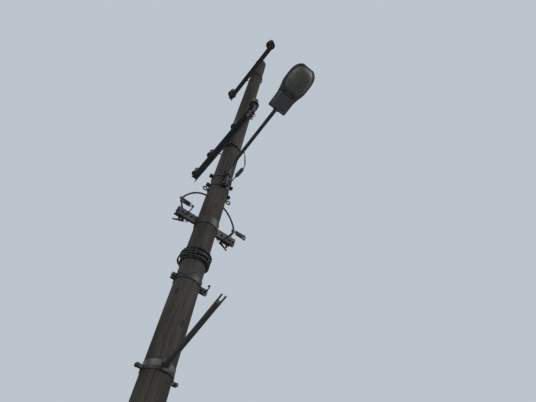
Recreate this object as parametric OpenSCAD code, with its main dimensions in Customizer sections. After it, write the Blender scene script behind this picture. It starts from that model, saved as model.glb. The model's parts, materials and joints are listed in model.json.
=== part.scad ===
// Wooden pole that carries two line crossarms, a street light and telecom cables.
// Origin: centre of the pole at ground level. +Z up, +X towards the road, Y along the line.

/* [Pole] */
// Height of the pole above ground
pole_h = 9000; // [8000:100:12000]
// Diameter at ground level
pole_butt_d = 280; // [250:5:330]
// Diameter at the top
pole_top_d = 197; // [180:1:230]
// Weathered bevel round the top edge
pole_bevel = 9; // [4:1:20]

/* [Crossarms] */
// Upper crossarm: distance of its middle below the pole top
upper_arm_drop = 658; // [500:10:900]
// Upper crossarm: length
upper_arm_l = 1226; // [1100:10:1600]
// Upper crossarm: leg of the steel angle
upper_arm_leg = 65; // [60:1:80]
// Lower crossarm: distance of its middle below the pole top
lower_arm_drop = 2958; // [2700:10:3100]
// Lower crossarm: length
lower_arm_l = 1468; // [1440:10:1900]
// Lower crossarm: leg of the steel angle
lower_arm_leg = 75; // [70:1:90]
// Thickness of both steel angles
arm_t = 7; // [5:0.5:10]
// Rod of the U-bolts that hold the crossarms
u_bolt_d = 16; // [12:1:20]
// Distance of the end pins from the ends of a crossarm
pin_end = 40; // [35:1:60]
// Distance of the inner pins of the lower crossarm from the pole axis
inner_pin_x = 288; // [240:1:400]

/* [Line insulators] */
// Diameter of the upper insulators
upper_ins_d = 150; // [130:1:165]
// Height of the upper insulators
upper_ins_h = 160; // [140:1:175]
// Bare pin under the upper insulators
upper_stem = 90; // [60:1:120]
// Diameter of the lower insulators
lower_ins_d = 120; // [100:1:140]
// Height of the lower insulators
lower_ins_h = 124; // [100:1:150]
// Bare pin under the lower insulators
lower_stem = 32; // [25:1:60]
// Diameter of the pin heads inside the insulators
pin_head_d = 25; // [22:0.5:28]
// Diameter of the pin shanks through the crossarms
pin_shank_d = 18; // [14:1:20]
// Diameter of the shackle insulator
shackle_d = 95; // [80:1:110]
// Length of the shackle insulator
shackle_l = 76; // [60:1:90]
// Distance of the shackle insulator below the middle of the crossarm
shackle_drop = 172; // [160:1:230]

/* [Street light] */
// Lower end of the lamp arm below the pole top
lamp_arm_drop = 3820; // [3700:10:3950]
// Outer diameter of the lamp arm pipe
lamp_pipe_d = 42; // [38:0.5:48]
// Wall of the lamp arm pipe
lamp_pipe_wall = 3; // [2:0.5:4]
// Upright length of the pipe below its bend
lamp_arm_foot = 251; // [230:1:300]
// Radius of the bend on the pipe axis
lamp_bend_r = 170; // [120:5:220]
// Rise of the sloping pipe, in degrees
lamp_arm_tilt = 15; // [5:1:25]
// Length of the sloping pipe up to the lamp
lamp_arm_reach = 735; // [500:5:1000]
// Rise of the lamp, in degrees
lamp_tilt = 18; // [16:0.5:20]
// Height of the bands that hold the arm
lamp_band_h = 40; // [30:1:60]
// Length of the lamp housing
lamp_l = 569; // [540:1:640]
// Width of the housing at its tail
lamp_tail_w = 221; // [200:1:240]
// Greatest width of the housing
lamp_w = 293; // [270:1:320]
// Greatest height of the housing shell
lamp_h = 104; // [90:1:130]
// Wall of the housing
lamp_wall = 3; // [2:0.5:5]
// Depth of the bowl
bowl_depth = 78; // [50:1:100]
// Depth of the gear tray door
door_depth = 26; // [16:1:40]

/* [Telecom bracket] */
// Distance of the bracket below the pole top
bracket_drop = 4380; // [4250:10:4480]
// Height of the bracket plates
bracket_h = 100; // [80:1:120]
// Length of each bracket wing beyond the pole
bracket_wing = 234; // [230:1:260]
// Thickness of the clamp plates
clamp_t = 6; // [4:0.5:10]
// Gap between the two halves of a clamp
clamp_gap = 16; // [10:1:24]
// Diameter of the clamp bolts
clamp_bolt_d = 14; // [10:1:16]
// Distance of the rear hooks from the pole, along the wing
inner_hook_at = 70; // [60:1:80]
// Distance of the front hooks from the pole, along the wing
outer_hook_at = 126; // [110:1:130]
// Diameter of the thick cable
cable_d = 20; // [12:1:24]
// Rod of the drop-wire hooks
hook_d = 12; // [10:1:14]
// Radius of the loop of a drop-wire hook
hook_r = 20; // [18:1:26]
// Reach of the long hooks on the front of the bracket
long_hook_reach = 100; // [60:1:130]
// Reach of the short hooks, on the rear of the bracket and on the middle clamp
short_hook_reach = 50; // [44:1:70]
// Length of a drop-wire clamp body
drop_clamp_l = 110; // [80:1:140]
// Distance of the eye bolt below the pole top
eye_bolt_drop = 3860; // [3840:5:3900]
// Rod of the eye bolt
eye_d = 16; // [14:1:20]
// Radius of the eyes
eye_r = 24; // [20:1:30]

/* [Middle and lower clamps] */
// Distance of the middle clamp below the pole top
middle_clamp_drop = 5120; // [5050:10:5200]
// Height of the middle clamp
middle_clamp_h = 60; // [40:1:90]
// Distance of the lower clamp below the pole top
lower_clamp_drop = 5984; // [5850:2:6150]
// Height of the lower clamp
lower_clamp_h = 26; // [26:1:40]
// Wing of the lower clamp beyond the pole
lower_wing = 66; // [56:1:80]
// Turn of the lower clamp about the pole, in degrees
lower_clamp_turn = 8; // [0:1:16]
// Wing of the lamp bands beyond the pole
clamp_wing = 44; // [40:1:60]
// Wing of the middle clamp beyond the pole, on the side of its hook
middle_wing = 84; // [78:1:110]
// Distance of the hook of the middle clamp from the pole
middle_hook_at = 60; // [56:1:70]
// Distance of the lashed cable turns below the pole top
wrap_drop = 4840; // [4800:10:4880]
// Number of lashed cable turns
wrap_turns = 7; // [2:1:8]
// Spacing of the lashed cable turns
wrap_pitch = 22; // [20:1:26]
// Diameter of the lashed cable
wrap_d = 16; // [12:1:18]
// Height of the sheet band over the lower clamp
strap_h = 46; // [30:1:60]
// Diameter of the strut pipe
strut_d = 44; // [36:1:52]
// Length of the strut pipe
strut_l = 650; // [500:5:900]
// Rise of the strut, in degrees
strut_tilt = 21; // [10:1:30]

/* [Hidden] */

$fn = 48;
seat = 0.3;
hole_play = 0.75;
washer_t = 3;

upper_z = pole_h - upper_arm_drop;
lower_z = pole_h - lower_arm_drop;
bracket_z = pole_h - bracket_drop;
middle_clamp_z = pole_h - middle_clamp_drop;
lower_clamp_z = pole_h - lower_clamp_drop;
lamp_foot_z = pole_h - lamp_arm_drop;
eye_z = pole_h - eye_bolt_drop;
wrap_z = pole_h - wrap_drop;
upper_pin_x = upper_arm_l/2 - pin_end;
lower_pin_x = lower_arm_l/2 - pin_end;

wood = "#5d5348";
zinc = "#8f9497";
dark_steel = "#4a4b4d";
porcelain = "#5a3a2a";
alloy = "#6f7378";
cable_black = "#222326";

function pole_r(z) = pole_butt_d/2 - (pole_butt_d - pole_top_d)/2*z/pole_h;
function arc(c, r, a0, a1, n = 8) = [for (i = [0:n]) let (a = a0 + (a1 - a0)*i/n) c + r*[cos(a), sin(a)]];
function unit(v) = v/norm(v);
function arm_back(z) = pole_r(z) + seat;

// Pole

module pole_shaft() {
    top_r = pole_top_d/2;
    color(wood) difference() {
        rotate_extrude($fn = 96)
            polygon([[0, 0], [pole_butt_d/2, 0], [pole_r(pole_h - pole_bevel), pole_h - pole_bevel],
                     [top_r - pole_bevel, pole_h], [0, pole_h]]);
        translate([0, 0, eye_z]) rotate([90, 0, 0])
            cylinder(h = 2*pole_butt_d, d = eye_d + 2*hole_play, center = true);
    }
}

// Crossarms

module angle_section(leg) {
    root_r = arm_t;
    toe_r = arm_t/2;
    polygon(concat(
        [[0, 0], [0, leg]],
        [[-leg, leg]],
        arc([-leg + toe_r, leg - arm_t + toe_r], toe_r, 180, 270, 4),
        arc([-arm_t - root_r, leg - arm_t - root_r], root_r, 90, 0, 5),
        arc([-arm_t + toe_r, toe_r], toe_r, 180, 270, 4)));
}

module crossarm(z, l, leg, pins) {
    bolt_x = u_bolt_x(z);
    difference() {
        translate([-l/2, -arm_back(z), z - leg/2])
            rotate([90, 0, 90]) linear_extrude(l) angle_section(leg);
        for (x = pins)
            translate([x, pin_y(z, leg), z]) cylinder(h = leg, d = pin_shank_d + 2*hole_play);
        for (side = [-1, 1])
            translate([side*bolt_x, 0, z]) rotate([90, 0, 0])
                cylinder(h = 2*pole_butt_d, d = u_bolt_d + 2*hole_play);
    }
}

function u_bolt_x(z) = pole_r(z) + seat + u_bolt_d/2;
function pin_y(z, leg) = -arm_back(z) - arm_t/2 - leg/2;

// Hexagon nut, chamfered at both faces
module nut(d, across) {
    h = 0.8*d;
    corner = across/cos(30);
    chamfer = (corner - across)/2*tan(30);
    intersection() {
        cylinder(h = h, d = corner, $fn = 6);
        rotate_extrude()
            polygon([[0, 0], [across/2, 0], [corner/2, chamfer], [corner/2, h - chamfer], [across/2, h], [0, h]]);
    }
}

module washer(d, t) {
    cylinder(h = t, d = d*2.1);
}

module u_bolt(z) {
    r = u_bolt_x(z);
    plate_y = arm_back(z) + arm_t;
    color(zinc) translate([0, 0, z]) {
        rotate_extrude(angle = 180, $fn = 96) translate([r, 0]) circle(d = u_bolt_d);
        for (side = [-1, 1]) translate([side*r, 0, 0]) rotate([90, 0, 0]) {
            cylinder(h = plate_y + 2.2*u_bolt_d, d = u_bolt_d);
            translate([0, 0, plate_y]) washer(u_bolt_d, washer_t);
            translate([0, 0, plate_y + washer_t]) nut(u_bolt_d, 1.5*u_bolt_d);
        }
    }
}

module upper_crossarm() {
    color(dark_steel) crossarm(upper_z, upper_arm_l, upper_arm_leg, [-upper_pin_x, upper_pin_x]);
}

module upper_u_bolt() {
    u_bolt(upper_z);
}

module lower_crossarm() {
    color(dark_steel) crossarm(lower_z, lower_arm_l, lower_arm_leg, lower_pin_places());
}

function lower_pin_places() = [-lower_pin_x, -inner_pin_x, inner_pin_x, lower_pin_x];

module lower_u_bolt() {
    u_bolt(lower_z);
}

// Pins and insulators

ins_bore_depth = 70;
collar_h = 12;

// Steel pin, from the top face of the flange: collar and stem above, shank and nut below
module pin(stem, strap_t = 0) {
    head_l = ins_bore_depth - 4;
    below = arm_t + strap_t;
    shank_l = below + 1.9*pin_shank_d;
    rotate_extrude()
        polygon([[0, -shank_l], [pin_shank_d/2, -shank_l], [pin_shank_d/2, 0],
                 [pin_shank_d, 0], [pin_shank_d, collar_h/2], [0.7*pin_shank_d, collar_h],
                 [0.42*pin_head_d, stem], [pin_head_d/2, stem + 6],
                 [pin_head_d/2, stem + head_l - 4], [0.4*pin_head_d, stem + head_l],
                 [0, stem + head_l]]);
    mirror([0, 0, 1]) translate([0, 0, below]) {
        washer(pin_shank_d, washer_t);
        translate([0, 0, washer_t]) nut(pin_shank_d, 1.5*pin_shank_d);
    }
}

// Insulator of pin type, from its foot: petticoat, shed, neck groove and domed head
module pin_insulator(d, h) {
    r = d/2;
    bore_r = pin_head_d/2 + seat;
    neck_r = 0.30*d;
    groove_r = 0.085*h;
    groove_z = 0.72*h;
    head_r = 0.35*d;
    color(porcelain) rotate_extrude(convexity = 6)
        polygon(concat(
            [[bore_r, 0], [0.26*d, 0], [0.29*d, 0.03*h], [0.33*d, 0.24*h], [0.40*d, 0.26*h]],
            [[0.47*d, 0.10*h]],
            arc([r - 0.03*d, 0.11*h], 0.03*d, -60, 50, 5),
            [for (t = [0.1:0.2:0.9]) [r - (r - 0.37*d)*sqrt(t), 0.14*h + 0.34*h*t]],
            [[0.36*d, 0.50*h]],
            [[neck_r + 0.02*d, groove_z - groove_r - 0.03*h]],
            arc([neck_r + groove_r*0.55, groove_z], groove_r, -110, -250, 8),
            arc([head_r - 0.06*d, 0.86*h], 0.06*d, -20, 70, 6),
            [[0.20*d, 0.985*h], [0.10*d, h], [0, h]],
            [[0, ins_bore_depth - 1], [bore_r, ins_bore_depth - 4]]));
}

module upper_pins() {
    color(zinc) for (x = [-upper_pin_x, upper_pin_x])
        translate([x, pin_y(upper_z, upper_arm_leg), upper_z + upper_arm_leg/2]) pin(upper_stem);
}

module lower_pins() {
    color(zinc) for (x = lower_pin_places())
        translate([x, pin_y(lower_z, lower_arm_leg), lower_z + lower_arm_leg/2])
            pin(lower_stem, x == lower_pin_x ? strap_t : 0);
}

module upper_insulator(x) {
    translate([x, pin_y(upper_z, upper_arm_leg), upper_z + upper_arm_leg/2 + upper_stem])
        pin_insulator(upper_ins_d, upper_ins_h);
}

module lower_insulator(x) {
    translate([x, pin_y(lower_z, lower_arm_leg), lower_z + lower_arm_leg/2 + lower_stem])
        pin_insulator(lower_ins_d, lower_ins_h);
}

module upper_insulator_near() { upper_insulator(upper_pin_x); }
module upper_insulator_far() { upper_insulator(-upper_pin_x); }
module lower_insulator_end_near() { lower_insulator(lower_pin_x); }
module lower_insulator_mid_near() { lower_insulator(inner_pin_x); }
module lower_insulator_mid_far() { lower_insulator(-inner_pin_x); }
module lower_insulator_end_far() { lower_insulator(-lower_pin_x); }

// Shackle insulator, in a strap that hangs from the end pin

strap_t = 5;
strap_w = 38;
shackle_bolt_d = 16;
shackle_z = lower_z - shackle_drop;

module at_shackle() {
    translate([lower_pin_x, pin_y(lower_z, lower_arm_leg), shackle_z]) children();
}

module shackle_strap() {
    top = lower_z + lower_arm_leg/2 - arm_t - shackle_z;
    leg_x = shackle_l/2 + seat;
    end_r = strap_w/2;
    color(zinc) at_shackle() difference() {
        union() {
            translate([-leg_x - strap_t, -strap_w/2, top - strap_t])
                cube([2*(leg_x + strap_t), strap_w, strap_t]);
            for (side = [0, 1]) mirror([side, 0, 0]) translate([leg_x, 0, 0]) {
                translate([0, -strap_w/2, 0]) cube([strap_t, strap_w, top]);
                rotate([0, 90, 0]) cylinder(h = strap_t, r = end_r);
            }
        }
        translate([0, 0, top - 2*strap_t]) cylinder(h = 3*strap_t, d = pin_shank_d + 2*hole_play);
        translate([-leg_x - 2*strap_t, 0, 0]) rotate([0, 90, 0])
            cylinder(h = 2*(leg_x + 2*strap_t), d = shackle_bolt_d + 2*hole_play);
    }
}

module shackle_insulator() {
    bore_r = shackle_bolt_d/2 + hole_play;
    rim = 0.16*shackle_l;
    groove_r = shackle_l/2 - 1.6*rim;
    color(porcelain) at_shackle() rotate([0, 90, 0]) rotate_extrude(convexity = 4)
        polygon(concat(
            [[bore_r, -shackle_l/2], [0.32*shackle_d, -shackle_l/2]],
            arc([shackle_d/2 - rim/2, -shackle_l/2 + rim], rim/2, -90, 60, 5),
            arc([0.30*shackle_d + groove_r, 0], groove_r, 260, 100, 10),
            arc([shackle_d/2 - rim/2, shackle_l/2 - rim], rim/2, -60, 90, 5),
            [[0.32*shackle_d, shackle_l/2], [bore_r, shackle_l/2]]));
}

module shackle_bolt() {
    grip = shackle_l/2 + seat + strap_t;
    color(zinc) at_shackle() rotate([0, 90, 0]) {
        translate([0, 0, -grip]) cylinder(h = 2*grip + 1.5*shackle_bolt_d, d = shackle_bolt_d);
        translate([0, 0, grip]) nut(shackle_bolt_d, 1.5*shackle_bolt_d);
        mirror([0, 0, 1]) translate([0, 0, grip]) nut(shackle_bolt_d, 1.5*shackle_bolt_d);
    }
}

// Street light: pipe arm

lamp_pipe_x = pole_r(lamp_foot_z) + seat + clamp_t + lamp_pipe_d/2;
lamp_bend_z = lamp_foot_z + lamp_arm_foot;
lamp_bend_angle = 90 - lamp_arm_tilt;

// Places children at the lamp end of the pipe, with X along the pipe
module at_arm_end() {
    translate([lamp_pipe_x + lamp_bend_r, 0, lamp_bend_z])
        rotate([0, -lamp_arm_tilt, 0]) translate([0, 0, lamp_bend_r])
            translate([lamp_arm_reach, 0, 0]) children();
}

// Places children at the tail of the lamp, with X along the lamp
module at_lamp() {
    at_arm_end() rotate([0, -(lamp_tilt - lamp_arm_tilt), 0]) children();
}

spigot_l = 84;

weld_w = 6;
weld_proud = 1;

module tube(l, proud = 0) {
    difference() {
        cylinder(h = l, d = lamp_pipe_d + 2*proud);
        translate([0, 0, -1]) cylinder(h = l + 2, d = lamp_pipe_d - 2*lamp_pipe_wall - proud);
    }
}

// Upright foot and bend, and the sloping pipe that is welded to the bend
module lamp_arm() {
    color(zinc) {
        translate([lamp_pipe_x, 0, lamp_foot_z]) tube(lamp_arm_foot);
        translate([lamp_pipe_x + lamp_bend_r, 0, lamp_bend_z]) {
            rotate([-90, 0, 0]) rotate([0, 0, 180]) rotate_extrude(angle = lamp_bend_angle, $fn = 96)
                translate([lamp_bend_r, 0]) difference() {
                    circle(d = lamp_pipe_d);
                    circle(d = lamp_pipe_d - 2*lamp_pipe_wall);
                }
            rotate([0, lamp_bend_angle, 0]) translate([-lamp_bend_r, 0, 0]) {
                translate([0, 0, -weld_w/2]) tube(weld_w, weld_proud);
                translate([0, 0, weld_w/4]) tube(lamp_arm_reach + spigot_l - weld_w/4);
            }
        }
    }
}

// Clamps: each is a half ring with a wing on both sides, bolted to its twin

function clamp_r(z, h) = pole_r(z - h/2) + seat;
wing_bolt_at = clamp_wing - 1.3*clamp_bolt_d;
bracket_bolt_at = bracket_wing - 1.3*clamp_bolt_d;
middle_bolt_at = 24;

// bolt_at and holes are distances from the ring along the wing. A clamp with its own line_wing has a
// shorter wing on the line side, without holes
module half_clamp(z, h, wing, bolt_at, holes = [], line_wing = undef) {
    r = clamp_r(z, h);
    wings = [wing, is_undef(line_wing) ? wing : line_wing];
    hole_sides = is_undef(line_wing) ? [-1, 1] : [1];
    translate([0, 0, z - h/2]) difference() {
        union() {
            difference() {
                cylinder(h = h, r = r + clamp_t, $fn = 96);
                translate([0, 0, -1]) cylinder(h = h + 2, r = r, $fn = 96);
                translate([-2*r, -2*r, -1]) cube([2*r + clamp_gap/2, 4*r, h + 2]);
            }
            for (side = [0, 1]) mirror([0, side, 0])
                translate([clamp_gap/2, r + 1, 0]) cube([clamp_t, wings[side] - 1, h]);
        }
        for (side = [-1, 1]) translate([0, side*(r + bolt_at), h/2])
            rotate([0, 90, 0]) cylinder(h = 4*clamp_gap, d = clamp_bolt_d + 2*hole_play);
        for (at = holes, side = hole_sides) translate([0, side*(r + at), h/2])
            rotate([0, 90, 0]) cylinder(h = 4*clamp_gap, d = hook_d + 2*hole_play);
    }
}

module clamp_bolts(z, h, bolt_at) {
    y = clamp_r(z, h) + bolt_at;
    grip = clamp_gap/2 + clamp_t;
    for (side = [-1, 1]) translate([0, side*y, z]) rotate([0, 90, 0]) {
        translate([0, 0, -grip - 1.2*clamp_bolt_d]) cylinder(h = 2*grip + 1.2*clamp_bolt_d, d = clamp_bolt_d);
        translate([0, 0, grip]) nut(clamp_bolt_d, 1.5*clamp_bolt_d);
        mirror([0, 0, 1]) translate([0, 0, grip]) nut(clamp_bolt_d, 1.5*clamp_bolt_d);
    }
}

// Band that holds the lamp arm: two halves, their bolts, and a saddle round the pipe
module lamp_band(z) {
    saddle_r = lamp_pipe_d/2 + seat;
    saddle_w = lamp_pipe_d + 4*clamp_t;
    r = clamp_r(z, lamp_band_h);
    color(zinc) {
        difference() {
            union() {
                half_clamp(z, lamp_band_h, clamp_wing, wing_bolt_at);
                translate([r/2, -saddle_w/2, z - lamp_band_h/2])
                    cube([lamp_pipe_x - r/2, saddle_w, lamp_band_h]);
                translate([lamp_pipe_x, 0, z - lamp_band_h/2])
                    cylinder(h = lamp_band_h, d = saddle_w);
            }
            translate([0, 0, z - lamp_band_h]) cylinder(h = 2*lamp_band_h, r = r, $fn = 96);
            translate([lamp_pipe_x, 0, z - lamp_band_h]) cylinder(h = 2*lamp_band_h, r = saddle_r);
        }
        mirror([1, 0, 0]) half_clamp(z, lamp_band_h, clamp_wing, wing_bolt_at);
        clamp_bolts(z, lamp_band_h, wing_bolt_at);
        for (side = [-1, 1]) translate([0, side*(r + wing_bolt_at), z])
            rotate([0, 90, 0]) translate([0, 0, -clamp_gap/2 - clamp_t])
                cylinder(h = clamp_gap + 2*clamp_t, d = clamp_bolt_d + 2*hole_play);
    }
}

band_edge = 20;

module lamp_band_lower() { lamp_band(lamp_foot_z + band_edge + lamp_band_h/2); }
module lamp_band_upper() { lamp_band(lamp_bend_z - band_edge - lamp_band_h/2); }

// Street light: lamp. X runs from its tail to its tip, Z = parting_z is the plane of the bowl ring

parting_z = -36;
swell_from = 0.25*lamp_l;
swell_to = 0.62*lamp_l;
nose_x = 0.68*lamp_l;
nose_power = 2.75;

// Share of the swell from the straight gear tray to the wide optic, 0 to 1
function lamp_swell(x) =
    let (t = min(max((x - swell_from)/(swell_to - swell_from), 0), 1))
    (1 - cos(180*t))/2;

// Half width of the housing at a distance x from the tail
function lamp_half_w(x) =
    let (corner = 22)
    let (edge = x < corner ? corner*(1 - sqrt(1 - pow(1 - x/corner, 2))) : 0)
    x < nose_x
        ? lamp_tail_w/2 + (lamp_w - lamp_tail_w)/2*lamp_swell(x) - 0.8*edge
        : lamp_w/2*pow(1 - pow((x - nose_x)/(1.03*(lamp_l - nose_x)), nose_power), 1/nose_power);

// Height of the housing roof over the parting plane
function lamp_roof(x) =
    let (t = x/lamp_l)
    lamp_h*(0.70 + 0.30*sin(180*pow(t, 0.8)))*pow(1 - pow(t/1.02, 7), 0.5);

lamp_stations = [0, 0.01, 0.03, 0.07, 0.15, 0.24, 0.30, 0.36, 0.42, 0.48, 0.54, 0.61, 0.68,
                 0.75, 0.81, 0.86, 0.905, 0.945, 0.97, 0.985, 1];

// One cross-section of the shell, shrunk by a wall
function lamp_section(x, wall, foot) =
    let (w = lamp_half_w(x) - wall, roof = lamp_roof(x) - wall, n = 18)
    concat([for (i = [0:n]) let (a = 180 - 180*i/n)
                [x, w*sign(cos(a))*pow(abs(cos(a)), 0.62), roof*pow(sin(a), 0.72)]],
           [[x, w, foot], [x, -w, foot]]);

module loft(rings) {
    n = len(rings[0]);
    m = len(rings);
    points = [for (ring = rings) each ring];
    sides = [for (j = [0:m - 2], i = [0:n - 1])
        [j*n + i, j*n + (i + 1)%n, (j + 1)*n + (i + 1)%n, (j + 1)*n + i]];
    polyhedron(points, concat(sides,
        [[for (i = [n - 1:-1:0]) i], [for (i = [0:n - 1]) (m - 1)*n + i]]), convexity = 6);
}

// Solid of the housing, with its outside pulled in by a wall and its foot at a level
module lamp_body(wall, foot) {
    first = wall;
    last = lamp_l - wall;
    translate([0, 0, parting_z])
        loft([for (t = lamp_stations) lamp_section(first + t*(last - first), wall, foot)]);
}

module lamp_housing() {
    color(alloy) difference() {
        at_lamp() lamp_body(0, -0.5);
        at_lamp() lamp_body(lamp_wall, -2);
        at_arm_end() rotate([0, 90, 0]) translate([0, 0, -2*lamp_wall])
            cylinder(h = 6*lamp_wall, d = lamp_pipe_d + 2*seat);
    }
}

module spigot_clamp() {
    from = 18;
    w = lamp_pipe_d + 30;
    color(zinc) difference() {
        at_lamp() intersection() {
            lamp_body(lamp_wall + seat, -0.2);
            translate([from, -w/2, -lamp_pipe_d/2 - 8]) cube([spigot_l - from, w, lamp_h]);
        }
        at_arm_end() rotate([0, 90, 0]) cylinder(h = spigot_l, d = lamp_pipe_d + 2*seat);
    }
}

door_end = 0.39*lamp_l;

module gear_door() {
    steps = 10;
    lip = 8;
    outline = [for (i = [0:steps]) let (x = 1 + (door_end - 1)*i/steps) [x, lamp_half_w(x) - 1]];
    color(alloy) at_lamp() translate([0, 0, parting_z - 0.5]) mirror([0, 0, 1]) {
        linear_extrude(lip) polygon(concat(outline, [for (i = [steps:-1:0]) [outline[i].x, -outline[i].y]]));
        translate([0, 0, lip - 1]) hull() {
            for (x = [34, door_end - 24], y = [-1, 1])
                translate([x, y*(lamp_tail_w/2 - 36), 0]) cylinder(h = door_depth - lip + 1, r = 10, $fn = 24);
            for (x = [26, door_end - 16], y = [-1, 1])
                translate([x, y*(lamp_tail_w/2 - 26), 0]) cylinder(h = 1, r = 12, $fn = 24);
        }
    }
}

bowl_x = 0.70*lamp_l;
bowl_a = 0.272*lamp_l;
bowl_b = 0.43*lamp_w;
ring_w = 12;
ring_t = 10;

function rim(a, b, n = 48) = [for (i = [0:n - 1]) let (t = 360*i/n)
    [a*sign(cos(t))*pow(abs(cos(t)), 0.8), b*sign(sin(t))*pow(abs(sin(t)), 0.8)]];

module bowl_ring() {
    color(alloy) at_lamp() translate([bowl_x, 0, parting_z - 0.5 - ring_t]) linear_extrude(ring_t) difference() {
        polygon(rim(bowl_a + ring_w, bowl_b + ring_w));
        polygon(rim(bowl_a, bowl_b));
    }
}

module bowl_solid(wall) {
    levels = 8;
    depth = bowl_depth - wall;
    rings = [for (j = [0:levels]) let (a = 90*j/levels, k = max(cos(a), 0.12))
        [for (p = rim((bowl_a - wall)*k, (bowl_b - wall)*k)) [p.x, p.y, -depth*sin(a)]]];
    top = [for (p = rings[0]) [p.x, p.y, ring_t + (wall > 0 ? 1 : 0)]];
    loft(concat([top], rings));
}

module lamp_bowl() {
    color("#b9bdb8") at_lamp() translate([bowl_x, 0, parting_z - 0.5 - ring_t]) difference() {
        bowl_solid(seat);
        bowl_solid(seat + 3);
    }
}

holder_x = 0.44*lamp_l;
bulb_z = -22;
holder_l = 58;
bulb_d = 46;
bulb_l = 150;

module lamp_holder() {
    color("#d8d4c8") at_lamp() {
        intersection() {
            lamp_body(lamp_wall + seat, -0.2);
            translate([holder_x, -lamp_w/2, parting_z]) cube([4, lamp_w, lamp_h]);
        }
        translate([holder_x + 3, 0, bulb_z + 16]) rotate([0, 90, 0]) cylinder(h = holder_l, d = 44);
    }
}

module lamp_bulb() {
    base_x = holder_x + 3 + holder_l;
    color("#e8e6da") at_lamp() translate([base_x, 0, bulb_z + 16]) rotate([0, 90, 0]) rotate_extrude()
        polygon(concat([[0, 0], [13, 0], [14, 18]],
            [for (i = [1:9]) let (a = 90*i/10) [14 + (bulb_d/2 - 14)*sin(a), 18 + 40*(1 - cos(a))]],
            arc([0, bulb_l - bulb_d/2], bulb_d/2, 0, 90, 10)));
}

// Fuse of the street light, on an arm from the lower band

fuse_az = 10;
fuse_rise = 36;
fuse_rod_d = 12;
fuse_rod_l = 132;
fuse_l = 142;
fuse_d = 44;
fuse_pad = [24, 8, 24];
fuse_lead_d = 9;
fuse_foot = [lamp_pipe_x, lamp_pipe_d/2 + 2*clamp_t, lamp_foot_z + band_edge + lamp_band_h/2];
fuse_dir = [cos(fuse_rise)*cos(fuse_az), cos(fuse_rise)*sin(fuse_az), sin(fuse_rise)];
fuse_start = fuse_foot + [0, fuse_pad.y/2, 0];

module at_fuse(l) {
    translate(fuse_start + l*fuse_dir) rotate([0, 90 - fuse_rise, fuse_az]) children();
}

module fuse_arm() {
    color(zinc) {
        translate(fuse_foot - [fuse_pad.x/2, 0, fuse_pad.z/2]) cube(fuse_pad);
        at_fuse(0) cylinder(h = fuse_rod_l, d = fuse_rod_d);
    }
}

module lamp_fuse() {
    gland_r = fuse_lead_d/2 + 4;
    color(cable_black) at_fuse(fuse_rod_l) rotate_extrude()
        polygon(concat([[0, 0], [12, 0], [12, 10]],
            arc([fuse_d/2 - 5, 15], 5, -60, 0, 4),
            [[fuse_d/2, 62], [fuse_d/2 + 2, 62], [fuse_d/2 + 2, 72], [fuse_d/2, 72]],
            arc([fuse_d/2 - 8, fuse_l - 28], 8, 0, 70, 5),
            [[gland_r + 3, fuse_l - 18], [gland_r, fuse_l], [0, fuse_l]]));
}

lead_gland_at = 140;
lead_gland_l = 16;
lead_pipe = [lamp_pipe_x + lamp_bend_r*(1 - sin(lamp_arm_tilt)), 0, lamp_bend_z + lamp_bend_r*cos(lamp_arm_tilt)]
    + lead_gland_at*[cos(lamp_arm_tilt), 0, sin(lamp_arm_tilt)];
lead_down = [sin(lamp_arm_tilt), 0, -cos(lamp_arm_tilt)];
lead_top = lead_pipe + (lamp_pipe_d/2 + seat + lead_gland_l)*lead_down;
lead_end = fuse_start + (fuse_rod_l + fuse_l + seat)*fuse_dir;

// Lead of the street light, from the gland under the pipe to the fuse
module lamp_lead() {
    slack = [24, 26, 0];
    color(cable_black) {
        cord(smooth([lead_top - 4*lead_down, lead_top, lead_top + 24*lead_down,
                     lead_top*0.72 + lead_end*0.28 + slack*0.4, lead_top*0.45 + lead_end*0.55 + slack,
                     lead_top*0.2 + lead_end*0.8 + 1.3*slack, lead_end + 26*fuse_dir + [4, 2, 14],
                     lead_end + 12*fuse_dir, lead_end], 3), fuse_lead_d, [0, 1, 0], 8);
        translate(lead_pipe) rotate([0, 180 - lamp_arm_tilt, 0])
            translate([0, 0, lamp_pipe_d/2 + seat]) cylinder(h = lead_gland_l, d = fuse_lead_d + 9, $fn = 32);
    }
}

// Telecom bracket

bracket_r = clamp_r(bracket_z, bracket_h);
wing_face = clamp_gap/2 + clamp_t;
cable_clamp_size = [38, 46, 56];
cable_clamp_lip = 6;
cable_clamp_at = bracket_bolt_at - 1.5*clamp_bolt_d - cable_clamp_size.y/2;
cable_clamp_y = bracket_r + cable_clamp_at;
cable_bore_x = cable_clamp_size.x - cable_d/2 - cable_clamp_lip;

module bracket_half() {
    half_clamp(bracket_z, bracket_h, bracket_wing, bracket_bolt_at, [inner_hook_at, outer_hook_at, cable_clamp_at]);
}

module bracket_front() {
    color(dark_steel) bracket_half();
}

module bracket_rear() {
    color(dark_steel) mirror([1, 0, 0]) bracket_half();
}

module bracket_bolts() {
    color(zinc) clamp_bolts(bracket_z, bracket_h, bracket_bolt_at);
}

// Hook with its shank through both wings; X points away from the wing
module drop_hook(reach) {
    rotate([0, 90, 0]) {
        washer(hook_d, washer_t);
        translate([0, 0, washer_t]) nut(hook_d, 1.5*hook_d);
        translate([0, 0, -2*wing_face - 1.4*hook_d]) cylinder(h = 2*wing_face + 1.4*hook_d + reach, d = hook_d);
        translate([0, 0, -2*wing_face]) mirror([0, 0, 1]) nut(hook_d, 1.5*hook_d);
    }
    translate([reach, 0, hook_r]) rotate([90, 0, 0]) rotate([0, 0, -90])
        rotate_extrude(angle = 205) translate([hook_r, 0]) circle(d = hook_d);
    translate([reach, 0, hook_r] + hook_r*[cos(115), 0, sin(115)]) sphere(d = 1.35*hook_d);
}

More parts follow.
